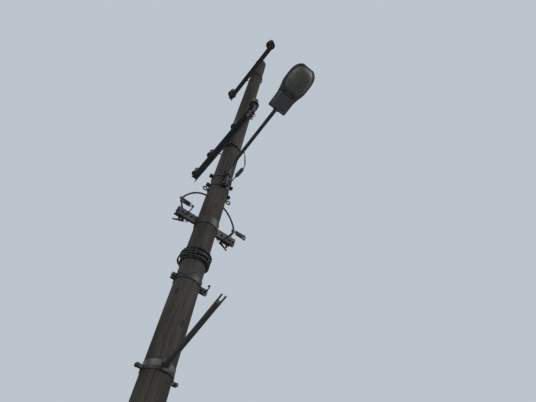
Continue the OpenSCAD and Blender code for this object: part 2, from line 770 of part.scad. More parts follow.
module bracket_hooks() {
    color(zinc) for (side = [-1, 1]) {
        translate([wing_face, side*(bracket_r + outer_hook_at), bracket_z]) drop_hook(long_hook_reach);
        mirror([1, 0, 0]) translate([wing_face, side*(bracket_r + inner_hook_at), bracket_z])
            drop_hook(short_hook_reach);
    }
}

// Cable clamp on the rear of the bracket: block with a bore for the cable, and its bolt through both wings
module cable_clamps() {
    color(zinc) for (side = [-1, 1]) mirror([1, 0, 0]) translate([wing_face, side*cable_clamp_y, bracket_z]) {
        difference() {
            translate([0, -cable_clamp_size.y/2, -cable_clamp_size.z/2]) cube(cable_clamp_size);
            translate([cable_bore_x, 0, -cable_clamp_size.z])
                cylinder(h = 2*cable_clamp_size.z, d = cable_d + 2*seat);
            translate([cable_bore_x - 1, -cable_clamp_size.y, -cable_clamp_size.z])
                cube([2, cable_clamp_size.y, 2*cable_clamp_size.z]);
        }
        rotate([0, 90, 0]) {
            translate([0, 0, -2*wing_face - 1.2*hook_d])
                cylinder(h = 2*wing_face + 1.2*hook_d + 1, d = hook_d);
            translate([0, 0, -2*wing_face]) mirror([0, 0, 1]) nut(hook_d, 1.5*hook_d);
        }
    }
}

// Thick cable that leaves one clamp, arches up behind the pole and ends in the other clamp.
// Each point: distance behind the clamps' bores, side place beside a clamp, height above the bracket.

arch_x = -(wing_face + cable_bore_x);
arch_points = [
    [0, 0, -70], [0, 0, -30], [0, 0, 30], [1, 6, 82], [8, 30, 150], [20, 46, 215],
    [31, 34, 290], [43, -8, 380], [59, -70, 470], [79, -150, 545], [104, -225, 590], [111, -278, 604],
];

function arch_side(side) = [for (p = arch_points) [arch_x - p.x, side*(cable_clamp_y + p.y), bracket_z + p.z]];
arch_path = concat(arch_side(-1), [for (i = [len(arch_points) - 1:-1:0]) arch_side(1)[i]]);

function ring_at(p, dir, ref, r, n) =
    let (side = unit(cross(dir, ref)), up = cross(side, dir))
    [for (i = [0:n - 1]) let (a = 360*i/n) p + r*(cos(a)*side + sin(a)*up)];

function along(p, i) = unit(p[min(i + 1, len(p) - 1)] - p[max(i - 1, 0)]);

// Curve through the hand-set points, with extra points between them
function smooth(p, n = 3) = concat([for (i = [0:len(p) - 2], k = [0:n - 1])
    let (t = k/n, a = p[max(i - 1, 0)], b = p[i], c = p[i + 1], d = p[min(i + 2, len(p) - 1)])
    0.5*(2*b + (c - a)*t + (2*a - 5*b + 4*c - d)*t*t + (3*b - a - 3*c + d)*t*t*t)],
    [p[len(p) - 1]]);

module cord(points, d, ref = [1, 0, 0], n = 10) {
    loft([for (i = [0:len(points) - 1]) ring_at(points[i], along(points, i), ref, d/2, n)]);
}

module cable_arch() {
    color(cable_black) cord(smooth(arch_path, 2), cable_d);
}

// Drop-wire clamp, X from the hook outwards: a bail round the hook rod and a tapered body
bail_d = 5;
bail_r = hook_d/2 + seat + bail_d/2;
bail_l = 46;

module drop_clamp() {
    rotate([0, 0, 90]) rotate_extrude(angle = 180) translate([bail_r, 0]) circle(d = bail_d);
    for (side = [-1, 1]) translate([0, side*bail_r, 0]) rotate([0, 90, 0]) cylinder(h = bail_l + 8, d = bail_d);
    translate([bail_l, 0, -8]) linear_extrude(16)
        polygon([[0, -bail_r - 5], [drop_clamp_l - 6, -8], [drop_clamp_l, -5],
                 [drop_clamp_l, 5], [drop_clamp_l - 6, 8], [0, bail_r + 5]]);
}

// Each clamp on a hook: place of its bail round the hook's loop, and its turn away from the hook, in degrees
drop_fan = [[-50, 70], [0, 88], [80, 84]];

module hook_load(reach, side) {
    for (one = drop_fan) translate([reach, 0, hook_r]) rotate([0, -one[0], 0])
        translate([hook_r, 0, 0]) rotate([0, 0, side*one[1]]) drop_clamp();
}

module drop_clamps() {
    color(zinc) for (side = [-1, 1]) {
        translate([wing_face, side*(bracket_r + outer_hook_at), bracket_z]) hook_load(long_hook_reach, side);
        mirror([1, 0, 0]) translate([wing_face, side*(bracket_r + inner_hook_at), bracket_z])
            hook_load(short_hook_reach, side);
    }
}

// Cable turns lashed round the pole

module cable_wrap() {
    color(cable_black) for (i = [0:wrap_turns - 1]) {
        z = wrap_z + (i - (wrap_turns - 1)/2)*wrap_pitch;
        translate([0, 0, z]) rotate_extrude($fn = 96)
            translate([pole_r(z - wrap_d/2) + seat + wrap_d/2, 0]) circle(d = wrap_d);
    }
}

// Eye bolt through the pole, for the dead ends

module eye_bolt() {
    r = pole_r(eye_z) + seat;
    shank = r + washer_t + 0.8*eye_d;
    color(zinc) translate([0, 0, eye_z]) {
        rotate([90, 0, 0]) cylinder(h = 2*shank, d = eye_d, center = true);
        for (side = [0, 1]) mirror([0, side, 0]) {
            translate([0, r, 0]) rotate([-90, 0, 0]) {
                washer(1.6*eye_d, washer_t);
                translate([0, 0, washer_t]) nut(eye_d, 1.6*eye_d);
            }
            translate([0, shank + eye_r, 0]) rotate([0, 90, 0]) rotate_extrude() translate([eye_r, 0]) circle(d = eye_d);
        }
    }
}

// Middle and lower clamps

module middle_half() {
    half_clamp(middle_clamp_z, middle_clamp_h, middle_wing, middle_bolt_at, [middle_hook_at], clamp_wing);
}

lower_bolt_at = lower_wing - 1.3*clamp_bolt_d;

module lower_half() {
    half_clamp(lower_clamp_z, lower_clamp_h, lower_wing, lower_bolt_at);
}

module at_lower_clamp() {
    rotate([0, 0, lower_clamp_turn]) children();
}

module middle_clamp_front() { color(zinc) middle_half(); }
module middle_clamp_rear() { color(zinc) mirror([1, 0, 0]) middle_half(); }
module lower_clamp_rear() { color(dark_steel) at_lower_clamp() mirror([1, 0, 0]) lower_half(); }

module lower_clamp_bolts() {
    color(dark_steel) at_lower_clamp() clamp_bolts(lower_clamp_z, lower_clamp_h, lower_bolt_at);
}

module middle_clamp_bolts() {
    color(zinc) clamp_bolts(middle_clamp_z, middle_clamp_h, middle_bolt_at);
}

module middle_hooks() {
    y = clamp_r(middle_clamp_z, middle_clamp_h) + middle_hook_at;
    color(zinc) translate([wing_face, y, middle_clamp_z]) drop_hook(short_hook_reach);
}

// Sheet band round the pole, close over the lower clamp, with its folded seam at the back
module lower_strap() {
    gap = 2;
    band_t = 2;
    seam = [5, 28, strap_h];
    z = lower_clamp_z + lower_clamp_h/2 + gap;
    r = pole_r(z) + seat;
    color(zinc) translate([0, 0, z]) difference() {
        union() {
            cylinder(h = strap_h, r = r + band_t, $fn = 96);
            translate([-r - seam.x + band_t, -seam.y/2, 0]) cube(seam);
        }
        translate([0, 0, -strap_h]) cylinder(h = 3*strap_h, r = r, $fn = 96);
    }
}

foot_plate_t = 8;
foot_w = 70;
foot_h = 84;
strut_wall = 3;

// Front half, with the foot that carries the strut
module lower_clamp_front() {
    r = clamp_r(lower_clamp_z, lower_clamp_h);
    color(dark_steel) {
        at_lower_clamp() lower_half();
        translate([r + clamp_t/2, -foot_w/2, lower_clamp_z - lower_clamp_h/2])
            cube([foot_plate_t, foot_w, foot_h]);
    }
}

strut_x = clamp_r(lower_clamp_z, lower_clamp_h) + clamp_t/2 + foot_plate_t;
strut_z = lower_clamp_z - lower_clamp_h/2 + 0.6*foot_h;

module at_strut() {
    translate([strut_x, 0, strut_z]) rotate([0, 90 - strut_tilt, 0]) children();
}

module strut_pipe() {
    color(dark_steel) difference() {
        at_strut() translate([0, 0, -strut_d/2]) cylinder(h = strut_l + strut_d/2, d = strut_d);
        at_strut() translate([0, 0, strut_d]) cylinder(h = strut_l, d = strut_d - 2*strut_wall);
        translate([-pole_butt_d, -pole_butt_d, strut_z - pole_butt_d])
            cube([strut_x + pole_butt_d, 2*pole_butt_d, 2*pole_butt_d]);
    }
}

module strut_fork() {
    plug_l = 20;
    cap_t = 8;
    prong_w = 11;
    prong_l = 72;
    color(zinc) at_strut() translate([0, 0, strut_l]) {
        translate([0, 0, -plug_l]) cylinder(h = plug_l, d = strut_d - 2*strut_wall - 2*seat);
        cylinder(h = cap_t, d = strut_d);
        for (side = [-1, 1]) translate([-prong_w/2, side*(strut_d - prong_w)/2 - prong_w/2, 0])
            cube([prong_w, prong_w, prong_l]);
    }
}

pole_shaft();
upper_crossarm();
upper_u_bolt();
upper_pins();
upper_insulator_near();
upper_insulator_far();
lower_crossarm();
lower_u_bolt();
lower_pins();
lower_insulator_end_near();
lower_insulator_mid_near();
lower_insulator_mid_far();
lower_insulator_end_far();
shackle_strap();
shackle_insulator();
shackle_bolt();
lamp_arm();
lamp_band_upper();
lamp_band_lower();
spigot_clamp();
lamp_housing();
gear_door();
bowl_ring();
lamp_bowl();
lamp_holder();
lamp_bulb();
fuse_arm();
lamp_fuse();
lamp_lead();
bracket_front();
bracket_rear();
bracket_bolts();
bracket_hooks();
cable_clamps();
cable_arch();
drop_clamps();
eye_bolt();
cable_wrap();
middle_clamp_front();
middle_clamp_rear();
middle_clamp_bolts();
middle_hooks();
lower_clamp_front();
lower_clamp_rear();
lower_clamp_bolts();
lower_strap();
strut_pipe();
strut_fork();
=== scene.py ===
import json
import math

import bmesh
import bpy
import numpy as np
from mathutils import Matrix, Vector


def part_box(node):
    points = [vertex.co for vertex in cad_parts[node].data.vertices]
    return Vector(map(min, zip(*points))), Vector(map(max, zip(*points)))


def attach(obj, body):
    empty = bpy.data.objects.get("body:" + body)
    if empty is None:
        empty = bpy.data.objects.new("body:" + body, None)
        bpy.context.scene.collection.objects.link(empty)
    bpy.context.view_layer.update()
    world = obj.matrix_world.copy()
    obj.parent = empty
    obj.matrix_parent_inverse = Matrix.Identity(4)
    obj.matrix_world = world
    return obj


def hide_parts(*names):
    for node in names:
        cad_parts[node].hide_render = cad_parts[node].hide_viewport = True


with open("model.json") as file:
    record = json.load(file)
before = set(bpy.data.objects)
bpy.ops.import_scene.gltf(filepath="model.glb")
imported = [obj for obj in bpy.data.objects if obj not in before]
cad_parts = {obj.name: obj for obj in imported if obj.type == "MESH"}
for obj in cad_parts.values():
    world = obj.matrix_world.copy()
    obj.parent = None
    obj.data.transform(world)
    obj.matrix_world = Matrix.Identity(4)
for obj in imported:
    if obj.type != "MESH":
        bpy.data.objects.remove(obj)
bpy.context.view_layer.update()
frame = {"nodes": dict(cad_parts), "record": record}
print("frame loaded with", len(frame["nodes"]), "nodes")

# metres everywhere; the pole stands on the origin and the lamp reaches out along +X
cameraView = {
    "place": (2.948, -1.010, 1.600),
    "forward": (-0.56215, 0.32053, 0.76239),
    "up": (0.56364, -0.52612, 0.63680),
    "lens": 27.72,
    "sensor": 36.0,
}


def linked(name, data):
    made = bpy.data.objects.new(name, data)
    bpy.context.scene.collection.objects.link(made)
    return made


def meshOf(name, points, edges, faces):
    mesh = bpy.data.meshes.new(name)
    mesh.from_pydata([tuple(p) for p in points], edges, faces)
    return mesh


def addCamera(view):
    data = bpy.data.cameras.new("camera")
    data.lens = view["lens"]
    data.sensor_width = view["sensor"]
    camera = linked("camera", data)
    forward = Vector(view["forward"]).normalized()
    right = forward.cross(Vector(view["up"])).normalized()
    turn = Matrix((right, right.cross(forward), -forward)).transposed().to_4x4()
    camera.matrix_world = Matrix.Translation(view["place"]) @ turn
    bpy.context.scene.camera = camera


class Sock:
    # wraps one output of a node tree, so that sums on it add Math nodes
    def __init__(self, tree, link=None):
        self.tree = tree
        self.link = link

    def node(self, kind, settings=(), inputs=(), out=0):
        made = self.tree.nodes.new(kind)
        for name, value in dict(settings).items():
            setattr(made, name, value)
        for key, value in dict(inputs).items():
            if isinstance(value, Sock):
                self.tree.links.new(value.link, made.inputs[key])
            else:
                made.inputs[key].default_value = value
        return Sock(self.tree, made.outputs[out])

    def maths(self, operation, *values):
        return self.node("ShaderNodeMath", {"operation": operation}, dict(enumerate(values)))

    def __add__(self, other):
        return self.maths("ADD", self, other)

    __radd__ = __add__

    def __sub__(self, other):
        return self.maths("SUBTRACT", self, other)

    def __rsub__(self, other):
        return self.maths("SUBTRACT", other, self)

    def __mul__(self, other):
        return self.maths("MULTIPLY", self, other)

    __rmul__ = __mul__

    def wave(self, length):
        return self.maths("SINE", self * (math.tau / length))

    def peak(self, other):
        return self.maths("MAXIMUM", self, other)

    def ramp(self, low, high):
        # 0 below low, 1 above high, smooth between them
        return self.node("ShaderNodeMapRange", {"interpolation_type": "SMOOTHSTEP"},
                         {"Value": self, "From Min": low, "From Max": high})

    def scaled(self, x, y, z):
        return self.node("ShaderNodeVectorMath", {"operation": "MULTIPLY"}, {0: self, 1: (x, y, z)})

    def apart(self, centre):
        # distance from a fixed place
        return self.node("ShaderNodeVectorMath", {"operation": "DISTANCE"}, {0: self, 1: centre}, "Value")

    def noise(self, scale, detail=2.0, rough=0.5):
        return self.node("ShaderNodeTexNoise", {},
                         {"Vector": self, "Scale": scale, "Detail": detail, "Roughness": rough})

    def axis(self, name):
        return self.node("ShaderNodeSeparateXYZ", {}, {0: self}, name)

    def tint(self, base, other):
        # a colour that goes from base to other; self is the factor
        return self.node("ShaderNodeMix", {"data_type": "RGBA"}, {0: self, 6: base, 7: other}, 2)


def rgb(r, g, b):
    return (r, g, b, 1.0)


def startMaterial(name, constants=()):
    made = bpy.data.materials.new(name)
    made.use_nodes = True
    shader = made.node_tree.nodes["Principled BSDF"]
    for socket, value in dict(constants).items():
        shader.inputs[socket].default_value = value
    start = Sock(made.node_tree)
    return made, shader, start, start.node("ShaderNodeTexCoord", out="Object")


def feed(shader, socket, value):
    value.tree.links.new(value.link, shader.inputs[socket])


def feedAll(shader, values, height, distance, strength=1.0):
    # every socket that varies, then the bump
    for socket, value in values.items():
        feed(shader, socket, value)
    inputs = {"Height": height, "Distance": distance, "Strength": strength}
    feed(shader, "Normal", height.node("ShaderNodeBump", {}, inputs))


def layered(look, colour, *layers):
    # lays the look's own colours over the first one, each by its factor
    for factor, name in layers:
        colour = factor.tint(colour, look[name])
    return colour


def edgeWear(start, radius):
    # 1 on rounded-off edges, where a bevelled normal leaves the true one
    soft = start.node("ShaderNodeBevel", {"samples": 4}, {"Radius": radius})
    true = start.node("ShaderNodeNewGeometry", out="Normal")
    match = start.node("ShaderNodeVectorMath", {"operation": "DOT_PRODUCT"}, {0: soft, 1: true}, "Value")
    return (1 - match).ramp(0.02, 0.25)


def facingUp(start):
    return start.node("ShaderNodeTexCoord", out="Normal").axis("Z")


poleShape = {
    "height": 9.0, "buttRadius": 0.140, "topRadius": 0.0985, "bevel": 0.009,
    "twist": math.radians(2.4),       # spiral of the grain, a metre
    "columns": 208, "rowHeight": 0.0212, "seed": 11,
    # checks from the top down: how many, and the least and most of their length, width and depth
    "topChecks": (15, (0.12, 0.9), (0.002, 0.006), (0.006, 0.016)),
    # long and short checks: how many, lowest and highest foot, and the same three
    "checks": ((26, (0.2, 7.6), (0.7, 2.3), (0.0025, 0.006), (0.007, 0.014)),
               (150, (0.05, 8.5), (0.14, 0.7), (0.001, 0.0028), (0.002, 0.006))),
    "lip": 0.0006,                    # least half width of a check, and how far its edges sink
    "ridge": 0.0006, "ridgeStep": 0.35,                    # unevenness of the grain, and its length
    "wobble": 0.0012,                 # out-of-round of the trunk: waves round it, rise and phase
    "wobbles": ((2, 0.7, 0.4), (3, 1.1, 1.9), (5, 1.7, 2.6)),
    # rings of the top face: how far a check still cuts, drop below the top, share of the radius
    "topRings": ((1.0, 0.0035, 0.955), (0.8, 0.0008, 0.90), (0.7, 0.0012, 0.75), (0.5, 0.0005, 0.5),
                 (0.3, 0.0014, 0.25)),
    # knots: degrees round the pole, height
    "knots": ((-30, 1.62), (64, 2.31), (-78, 2.72), (12, 3.42), (-52, 3.70), (150, 3.55), (-8, 4.86),
              (48, 5.66), (-66, 5.88), (-18, 6.55), (104, 6.90), (-44, 7.36), (20, 7.92), (-150, 7.50),
              (-100, 8.60)),
}


def poleRadius(z):
    butt = poleShape["buttRadius"]
    return butt - (butt - poleShape["topRadius"]) * z / poleShape["height"]


woodLook = {
    "dark": rgb(0.0070, 0.0060, 0.0050),
    "brown": rgb(0.022, 0.0180, 0.0135),
    "grey": rgb(0.048, 0.0447, 0.0392),
    # near black: the dark ring inside each knot's rim, and painted shade in the fine splits and the modelled
    # checks
    "gap": rgb(0.0022, 0.0020, 0.0018),
    "rust": rgb(0.036, 0.017, 0.0075),
    "soil": rgb(0.040, 0.032, 0.023),
    "moss": rgb(0.022, 0.026, 0.012),
    "knot": rgb(0.0105, 0.0065, 0.0040),
    "knotSize": 0.021, "knotStretch": 0.55, "knotRing": 0.0050, "knotRough": 0.020,
    "endGrain": rgb(0.088, 0.082, 0.071), "yearRing": 0.0036,
    # size of each pattern: repeats a metre across, across and along the grain
    "fibre": (150, 150, 3.2), "hair": (520, 520, 9), "streak": (30, 30, 0.8), "patch": (3.2, 3.2, 0.9),
    "ridge": (64, 64, 1.5), "runs": (34, 34, 0.7),
    "stainTops": (8.31, 6.00, 5.37, 5.20, 5.13, 4.57, 3.85, 3.00),      # heights of the rusting fittings
    "stainLength": 0.42,
    "rustSpot": (0.1213, -0.0106, 3.915), "rustSpotSize": 0.050,        # under the cable wrap
    # a pale stripe up one side of the trunk between two heights: painted sheen, the light along that side of
    # the pole
    "paintedSheen": (0.1190, 0.0330, 0), "paintedSheenWidth": 0.020, "paintedSheenLow": 2.6, "paintedSheenHigh": 3.98,
}


def knotDistance(place, shape, look):
    # distance to the nearest knot, with a knot longer along the grain
    flat = place.scaled(1, 1, look["knotStretch"])
    nearest = None
    for degrees, height in shape["knots"]:
        angle = math.radians(degrees)
        radius = poleRadius(height)
        one = flat.apart((radius * math.cos(angle), radius * math.sin(angle), height * look["knotStretch"]))
        nearest = one if nearest is None else nearest.maths("MINIMUM", nearest, one)
    return nearest


def woodMaterial(shape, look):
    made, shader, start, place = startMaterial("weatheredWood", {"Specular IOR Level": 0.22})
    height = place.axis("Z")
    knot = knotDistance(place, shape, look) + (place.noise(48.0, 3.0, 0.6) - 0.5) * look["knotRough"]
    size = look["knotSize"]
    inKnot = knot.ramp(size, size * 0.72)
    nearKnot = knot.ramp(size * 3.2, size)
    bent = place.node("ShaderNodeVectorRotate", {"rotation_type": "Z_AXIS"},
                      {"Vector": place, "Angle": height * -shape["twist"] + nearKnot * 0.05})
    fibre = bent.scaled(*look["fibre"]).noise(1.0, 4.0, 0.6)
    hair = bent.scaled(*look["hair"]).noise(1.0, 2.0)
    streak = bent.scaled(*look["streak"]).noise(1.0, 3.0, 0.6)
    patch = place.scaled(*look["patch"]).noise(1.0, 3.0)
    ridge = bent.scaled(*look["ridge"]).noise(1.0, 1.0) * 2 - 1
    split = (1 - ridge.maths("ABSOLUTE", ridge)).ramp(0.955, 0.995) * (1 - inKnot)
    # how open each modelled check is; it lays painted shade into the cracks
    gap = start.node("ShaderNodeAttribute", {"attribute_name": "check"}, out="Fac")
    runs = place.scaled(*look["runs"]).noise(1.0, 2.0).ramp(0.52, 0.74)
    stain = None
    for top in look["stainTops"]:
        below = top - height
        one = below.ramp(0.0, 0.015) * below.ramp(look["stainLength"], 0.0)
        stain = one if stain is None else stain.peak(one)
    spot = place.apart(look["rustSpot"]) + place.noise(60.0, 3.0) * 0.03
    spot = spot.ramp(look["rustSpotSize"], look["rustSpotSize"] * 0.4)
    across = place.scaled(1, 1, 0)
    # painted sheen: a narrow pale stripe at one place round the pole, between two heights
    run = across.apart(look["paintedSheen"]).ramp(look["paintedSheenWidth"], 0.0)
    run = run * height.ramp(look["paintedSheenLow"], look["paintedSheenLow"] + 0.5)
    run = run * height.ramp(look["paintedSheenHigh"], look["paintedSheenHigh"] - 0.38)
    rings = (knot + fibre * 0.0030).wave(look["knotRing"])
    edge = knot.ramp(size * 1.02, size * 0.86) * knot.ramp(size * 0.58, size * 0.80)
    year = across.apart((0, 0, 0)) + place.noise(26.0, 2.0) * 0.004
    band = year.wave(look["yearRing"]) * 0.5 + 0.5
    endFace = facingUp(start).ramp(0.55, 0.9) * height.ramp(8.98, 8.99)
    colour = layered(
        look, streak.ramp(0.32, 0.68).tint(look["dark"], look["brown"]),
        (patch.ramp(0.36, 0.64) * (0.30 + fibre * 0.9), "grey"),
        (place.noise(1.7, 4.0, 0.6).ramp(0.50, 0.70) * streak * 0.7, "moss"),
        (height.ramp(0.9, 0.0) * patch.ramp(0.3, 0.6) * 0.7, "soil"),
        (stain * runs * 0.6, "rust"),
        (spot * 0.8, "rust"),
        # the painted sheen, laid in grey
        (run * streak.ramp(0.2, 0.7) * 0.8, "grey"),
        ((1 - hair) * 0.35, "dark"),
        (inKnot * (0.72 + rings * 0.13), "knot"),
        (edge * streak.ramp(0.35, 0.6) * 0.6, "gap"),
        (endFace * (0.45 + band * 0.5), "endGrain"),
        # painted shade in the fine splits and in the modelled checks
        (split * (0.40 + streak.ramp(0.38, 0.62) * 0.45), "gap"),
        (gap.ramp(0.05, 0.75), "gap"))
    relief = fibre * 0.6 + hair * 0.25 - split * 0.9 + streak * 0.5
    feedAll(shader, {"Base Color": colour, "Roughness": 0.74 + fibre * 0.22},
            relief + rings * inKnot * 0.3 + band * endFace * 0.3, 0.0022)
    return made


steelLook = {
    "paint": rgb(0.0125, 0.0125, 0.0135),
    "pale": rgb(0.036, 0.036, 0.037),
    "rust": rgb(0.038, 0.0175, 0.0088),
    "deepRust": rgb(0.0135, 0.0075, 0.0050),
    "limit": 0.54,                    # share of the surface that stays free of rust
}


def steelMaterial(name, look):
    made, shader, start, place = startMaterial(name, {"Specular IOR Level": 0.4})
    cloud = place.noise(9.0, 6.0, 0.62)
    fine = place.noise(140.0, 5.0, 0.6)
    pit = place.noise(420.0, 2.0)
    wear = edgeWear(start, 0.004)
    runs = place.scaled(60, 60, 4).noise(1.0, 2.0)
    rusty = (cloud + (fine - 0.5) * 0.35 + (runs - 0.5) * 0.2).ramp(look["limit"], look["limit"] + 0.12)
    colour = layered(look, look["paint"], (fine.ramp(0.3, 0.7) * 0.6, "pale"), (wear * 0.7, "pale"))
    values = {
        "Base Color": rusty.tint(colour, fine.ramp(0.4, 0.6).tint(look["deepRust"], look["rust"])),
        "Metallic": 0.5 - rusty * 0.45,
        "Roughness": 0.50 + rusty * 0.36 + fine * 0.1,
    }
    feedAll(shader, values, fine * 0.5 + pit * 0.3 + rusty * 0.8, 0.0006)
    return made


zincLook = {
    "spangles": 130.0,                # crystals a metre
    "bright": rgb(0.038, 0.0395, 0.041),
    "dull": rgb(0.019, 0.0195, 0.0205),
    "chalk": rgb(0.052, 0.053, 0.052),
    "rust": rgb(0.040, 0.0185, 0.0085),
    "grime": rgb(0.0095, 0.009, 0.0085),
}
# the aged zinc again at about two and a half times its brightness, for the strap round the pole at the
# strut's foot and for the strut's fork: a lit copy of the zinc, painted light
litZincLook = {
    "spangles": 130.0,
    "bright": rgb(0.098, 0.099, 0.088),
    "dull": rgb(0.050, 0.050, 0.043),
    "chalk": rgb(0.125, 0.126, 0.112),
    "rust": rgb(0.062, 0.028, 0.0125),
    "grime": rgb(0.030, 0.028, 0.022),
}


def zincMaterial(name, look):
    made, shader, start, place = startMaterial(name, {"Specular IOR Level": 0.4})
    flake = {"Vector": place, "Scale": look["spangles"], "Randomness": 1.0}
    spangle = place.node("ShaderNodeTexVoronoi", {}, flake, "Color").axis("X")
    cloud = place.noise(11.0, 5.0, 0.6)
    fine = place.noise(190.0, 4.0, 0.6)
    wear = edgeWear(start, 0.003)
    bare = wear * fine.ramp(0.42, 0.58)
    rusty = bare.peak(place.noise(23.0, 6.0, 0.7).ramp(0.60, 0.69))
    colour = layered(
        look, (spangle * 0.6 + cloud * 0.3).tint(look["dull"], look["bright"]),
        (cloud.ramp(0.52, 0.70) * fine.ramp(0.35, 0.7) * 0.8, "chalk"),
        ((1 - cloud).ramp(0.46, 0.66) * 0.8, "grime"),
        (rusty * 0.85, "rust"))
    roughness = 0.46 + spangle * 0.12 + rusty * 0.35 + fine * 0.08
    feedAll(shader, {"Base Color": colour, "Metallic": 0.72 - rusty * 0.68, "Roughness": roughness},
            spangle * 0.12 + fine * 0.4 + rusty * 0.5, 0.0004)
    return made


def porcelainMaterial():
    look = {
        "base": rgb(0.023, 0.0088, 0.0046),
        "thin": rgb(0.044, 0.0180, 0.0082),
        "dust": rgb(0.042, 0.037, 0.029),
    }
    gloss = {"Coat Roughness": 0.14, "Specular IOR Level": 0.28}
    made, shader, start, place = startMaterial("brownGlaze", gloss)
    mottle = place.noise(46.0, 3.0)
    cloud = place.noise(16.0, 4.0)
    dust = facingUp(start).ramp(0.1, 0.9) * cloud.ramp(0.35, 0.65) * 0.7
    runs = place.scaled(70, 70, 12).noise(1.0, 2.0).ramp(0.5, 0.8)
    colour = layered(
        look, look["base"], (mottle.ramp(0.40, 0.72) * 0.45, "thin"), (edgeWear(start, 0.003) * 0.5, "thin"),
        (runs * 0.35, "dust"), (dust, "dust"))
    roughness = 0.30 + dust * 0.5 + cloud * 0.10 + runs * 0.1
    feedAll(shader, {"Base Color": colour, "Roughness": roughness, "Coat Weight": 0.26 - dust * 0.26},
            mottle, 0.0003, 0.5)
    return made


def lampPaintMaterial():
    look = {
        "paint": rgb(0.019, 0.0195, 0.021),
        "faded": rgb(0.052, 0.0535, 0.055),
        # laid on the faces that look down and on the lower sides
        "grime": rgb(0.0065, 0.0062, 0.006),
        "bare": rgb(0.11, 0.11, 0.11),
        "lime": rgb(0.17, 0.165, 0.15),
    }
    made, shader, start, place = startMaterial("lampPaint", {"Specular IOR Level": 0.45})
    up = facingUp(start)
    cloud = place.noise(14.0, 5.0, 0.6)
    fine = place.noise(260.0, 3.0)
    runs = place.scaled(40, 40, 5).noise(1.0, 3.0)
    wear = edgeWear(start, 0.003)
    spots = place.noise(34.0, 2.0).ramp(0.66, 0.70)
    colour = layered(
        look, look["paint"],
        (up.ramp(-0.2, 0.9) * cloud.ramp(0.3, 0.7), "faded"),
        # darker on the faces that look down and on the lower sides, in streaks
        ((1 - up.ramp(-0.6, 0.3)) * runs.ramp(0.40, 0.75) * 0.8, "grime"),
        (wear * fine.ramp(0.45, 0.6) * 0.7, "bare"),
        (up.ramp(0.3, 0.8) * spots, "lime"))
    feedAll(shader, {"Base Color": colour, "Roughness": 0.42 + cloud * 0.25},
            fine * 0.6 + cloud * 0.3, 0.0003)
    return made


def bowlMaterial():
    look = {"clear": rgb(0.098, 0.097, 0.085), "dust": rgb(0.024, 0.0225, 0.0185)}
    glass = {"Transmission Weight": 0.44, "IOR": 1.42, "Specular IOR Level": 0.3}
    made, shader, start, place = startMaterial("dustyBowl", glass)
    up = facingUp(start)
    dirt = place.noise(17.0, 4.0, 0.55).ramp(0.42, 0.75)
    settled = (1 - up.ramp(-1.0, -0.35)) * place.noise(48.0, 3.0).ramp(0.35, 0.7)
    haze = 0.25 + dirt * 0.4 + settled * 0.3
    feedAll(shader, {"Base Color": haze.tint(look["clear"], look["dust"]), "Roughness": 0.46 + haze * 0.25},
            place.noise(70.0, 2.0), 0.0003, 0.3)
    return made


def plainMaterial(name, colour, other, roughness, scale, constants=()):
    # a finish with one clouded colour, for the small parts
    made, shader, start, place = startMaterial(name, constants)
    cloud = place.noise(scale, 5.0, 0.6)
    tone = cloud.ramp(0.3, 0.72).tint(rgb(*colour), rgb(*other))
    feedAll(shader, {"Base Color": tone, "Roughness": roughness + (cloud - 0.5) * 0.3},
            place.noise(scale * 9, 3.0), 0.0003)
    return made


finish = {
    "wood": woodMaterial(poleShape, woodLook),
    "arm_steel": steelMaterial("darkSteel", steelLook),
    "zinc": zincMaterial("agedZinc", zincLook),
    "porcelain": porcelainMaterial(),
    "lamp_alloy": lampPaintMaterial(),
    "bowl_glass": bowlMaterial(),
    "bulb_glass": plainMaterial("frostedBulb", (0.42, 0.41, 0.38), (0.32, 0.31, 0.27), 0.3, 20.0,
                                {"Transmission Weight": 0.4}),
    "holder_ceramic": plainMaterial("whiteCeramic", (0.34, 0.33, 0.30), (0.20, 0.185, 0.155), 0.35, 30.0),
    "fuse_plastic": plainMaterial("fusePlastic", (0.010, 0.010, 0.011), (0.026, 0.026, 0.027), 0.5, 45.0,
                                  {"Specular IOR Level": 0.3}),
    "cable_sheath": plainMaterial("cableSheath", (0.0075, 0.0075, 0.008), (0.022, 0.0215, 0.021), 0.55,
                                  35.0, {"Specular IOR Level": 0.2}),
}
reflectorFinish = plainMaterial("reflectorSheet", (0.15, 0.15, 0.145), (0.075, 0.073, 0.068), 0.42, 26.0,
                                {"Metallic": 0.85})
# painted light: the brighter zinc copy, on the nodes named below
litZincFinish = zincMaterial("paintedLitZinc", litZincLook)
litZincNodes = ("lower_strap", "strut_fork")
print("finishes made:", len(finish) + 2)


def dressNodes():
    slotOf = {part["node"]: part["material_slot"] for part in frame["record"]["subparts"]}
    for name, piece in frame["nodes"].items():
        piece.data.materials.clear()
        piece.data.materials.append(litZincFinish if name in litZincNodes else finish[slotOf[name]])


dressNodes()


def smoothPath(points, extra):
    # curve through given points, with extra points in each span
    p = [Vector(q) for q in points]
    path = []
    for i in range(len(p) - 1):
        a, b, c, d = p[max(i - 1, 0)], p[i], p[i + 1], p[min(i + 2, len(p) - 1)]
        for k in range(extra):
            t = k / extra
            path.append(0.5 * (2 * b + (c - a) * t + (2 * a - 5 * b + 4 * c - d) * t * t
                               + (3 * b - a - 3 * c + d) * t ** 3))
    path.append(p[-1])
    return path


def pathLength(path):
    return sum((Vector(b) - Vector(a)).length for a, b in zip(path, path[1:]))


def turnsOf(steps, first=0.0):
    # the angles of equal steps round a circle
    return [math.tau * (i + first) / steps for i in range(steps)]


def circle(centre, across, up, radius, steps):
    return [Vector(centre) + radius * (Vector(across) * math.cos(a) + Vector(up) * math.sin(a))
            for a in turnsOf(steps)]


def level(z, radius, steps):
    # circle round the Z axis
    return circle((0, 0, z), (1, 0, 0), (0, 1, 0), radius, steps)


def shift(x, y, z):
    return Matrix.Translation((x, y, z))


def turned(axis, degrees):
    return Matrix.Rotation(math.radians(degrees), 4, axis)


def moved(turn, points):
    return [turn @ Vector(p) for p in points]


still = Matrix.Identity(4)


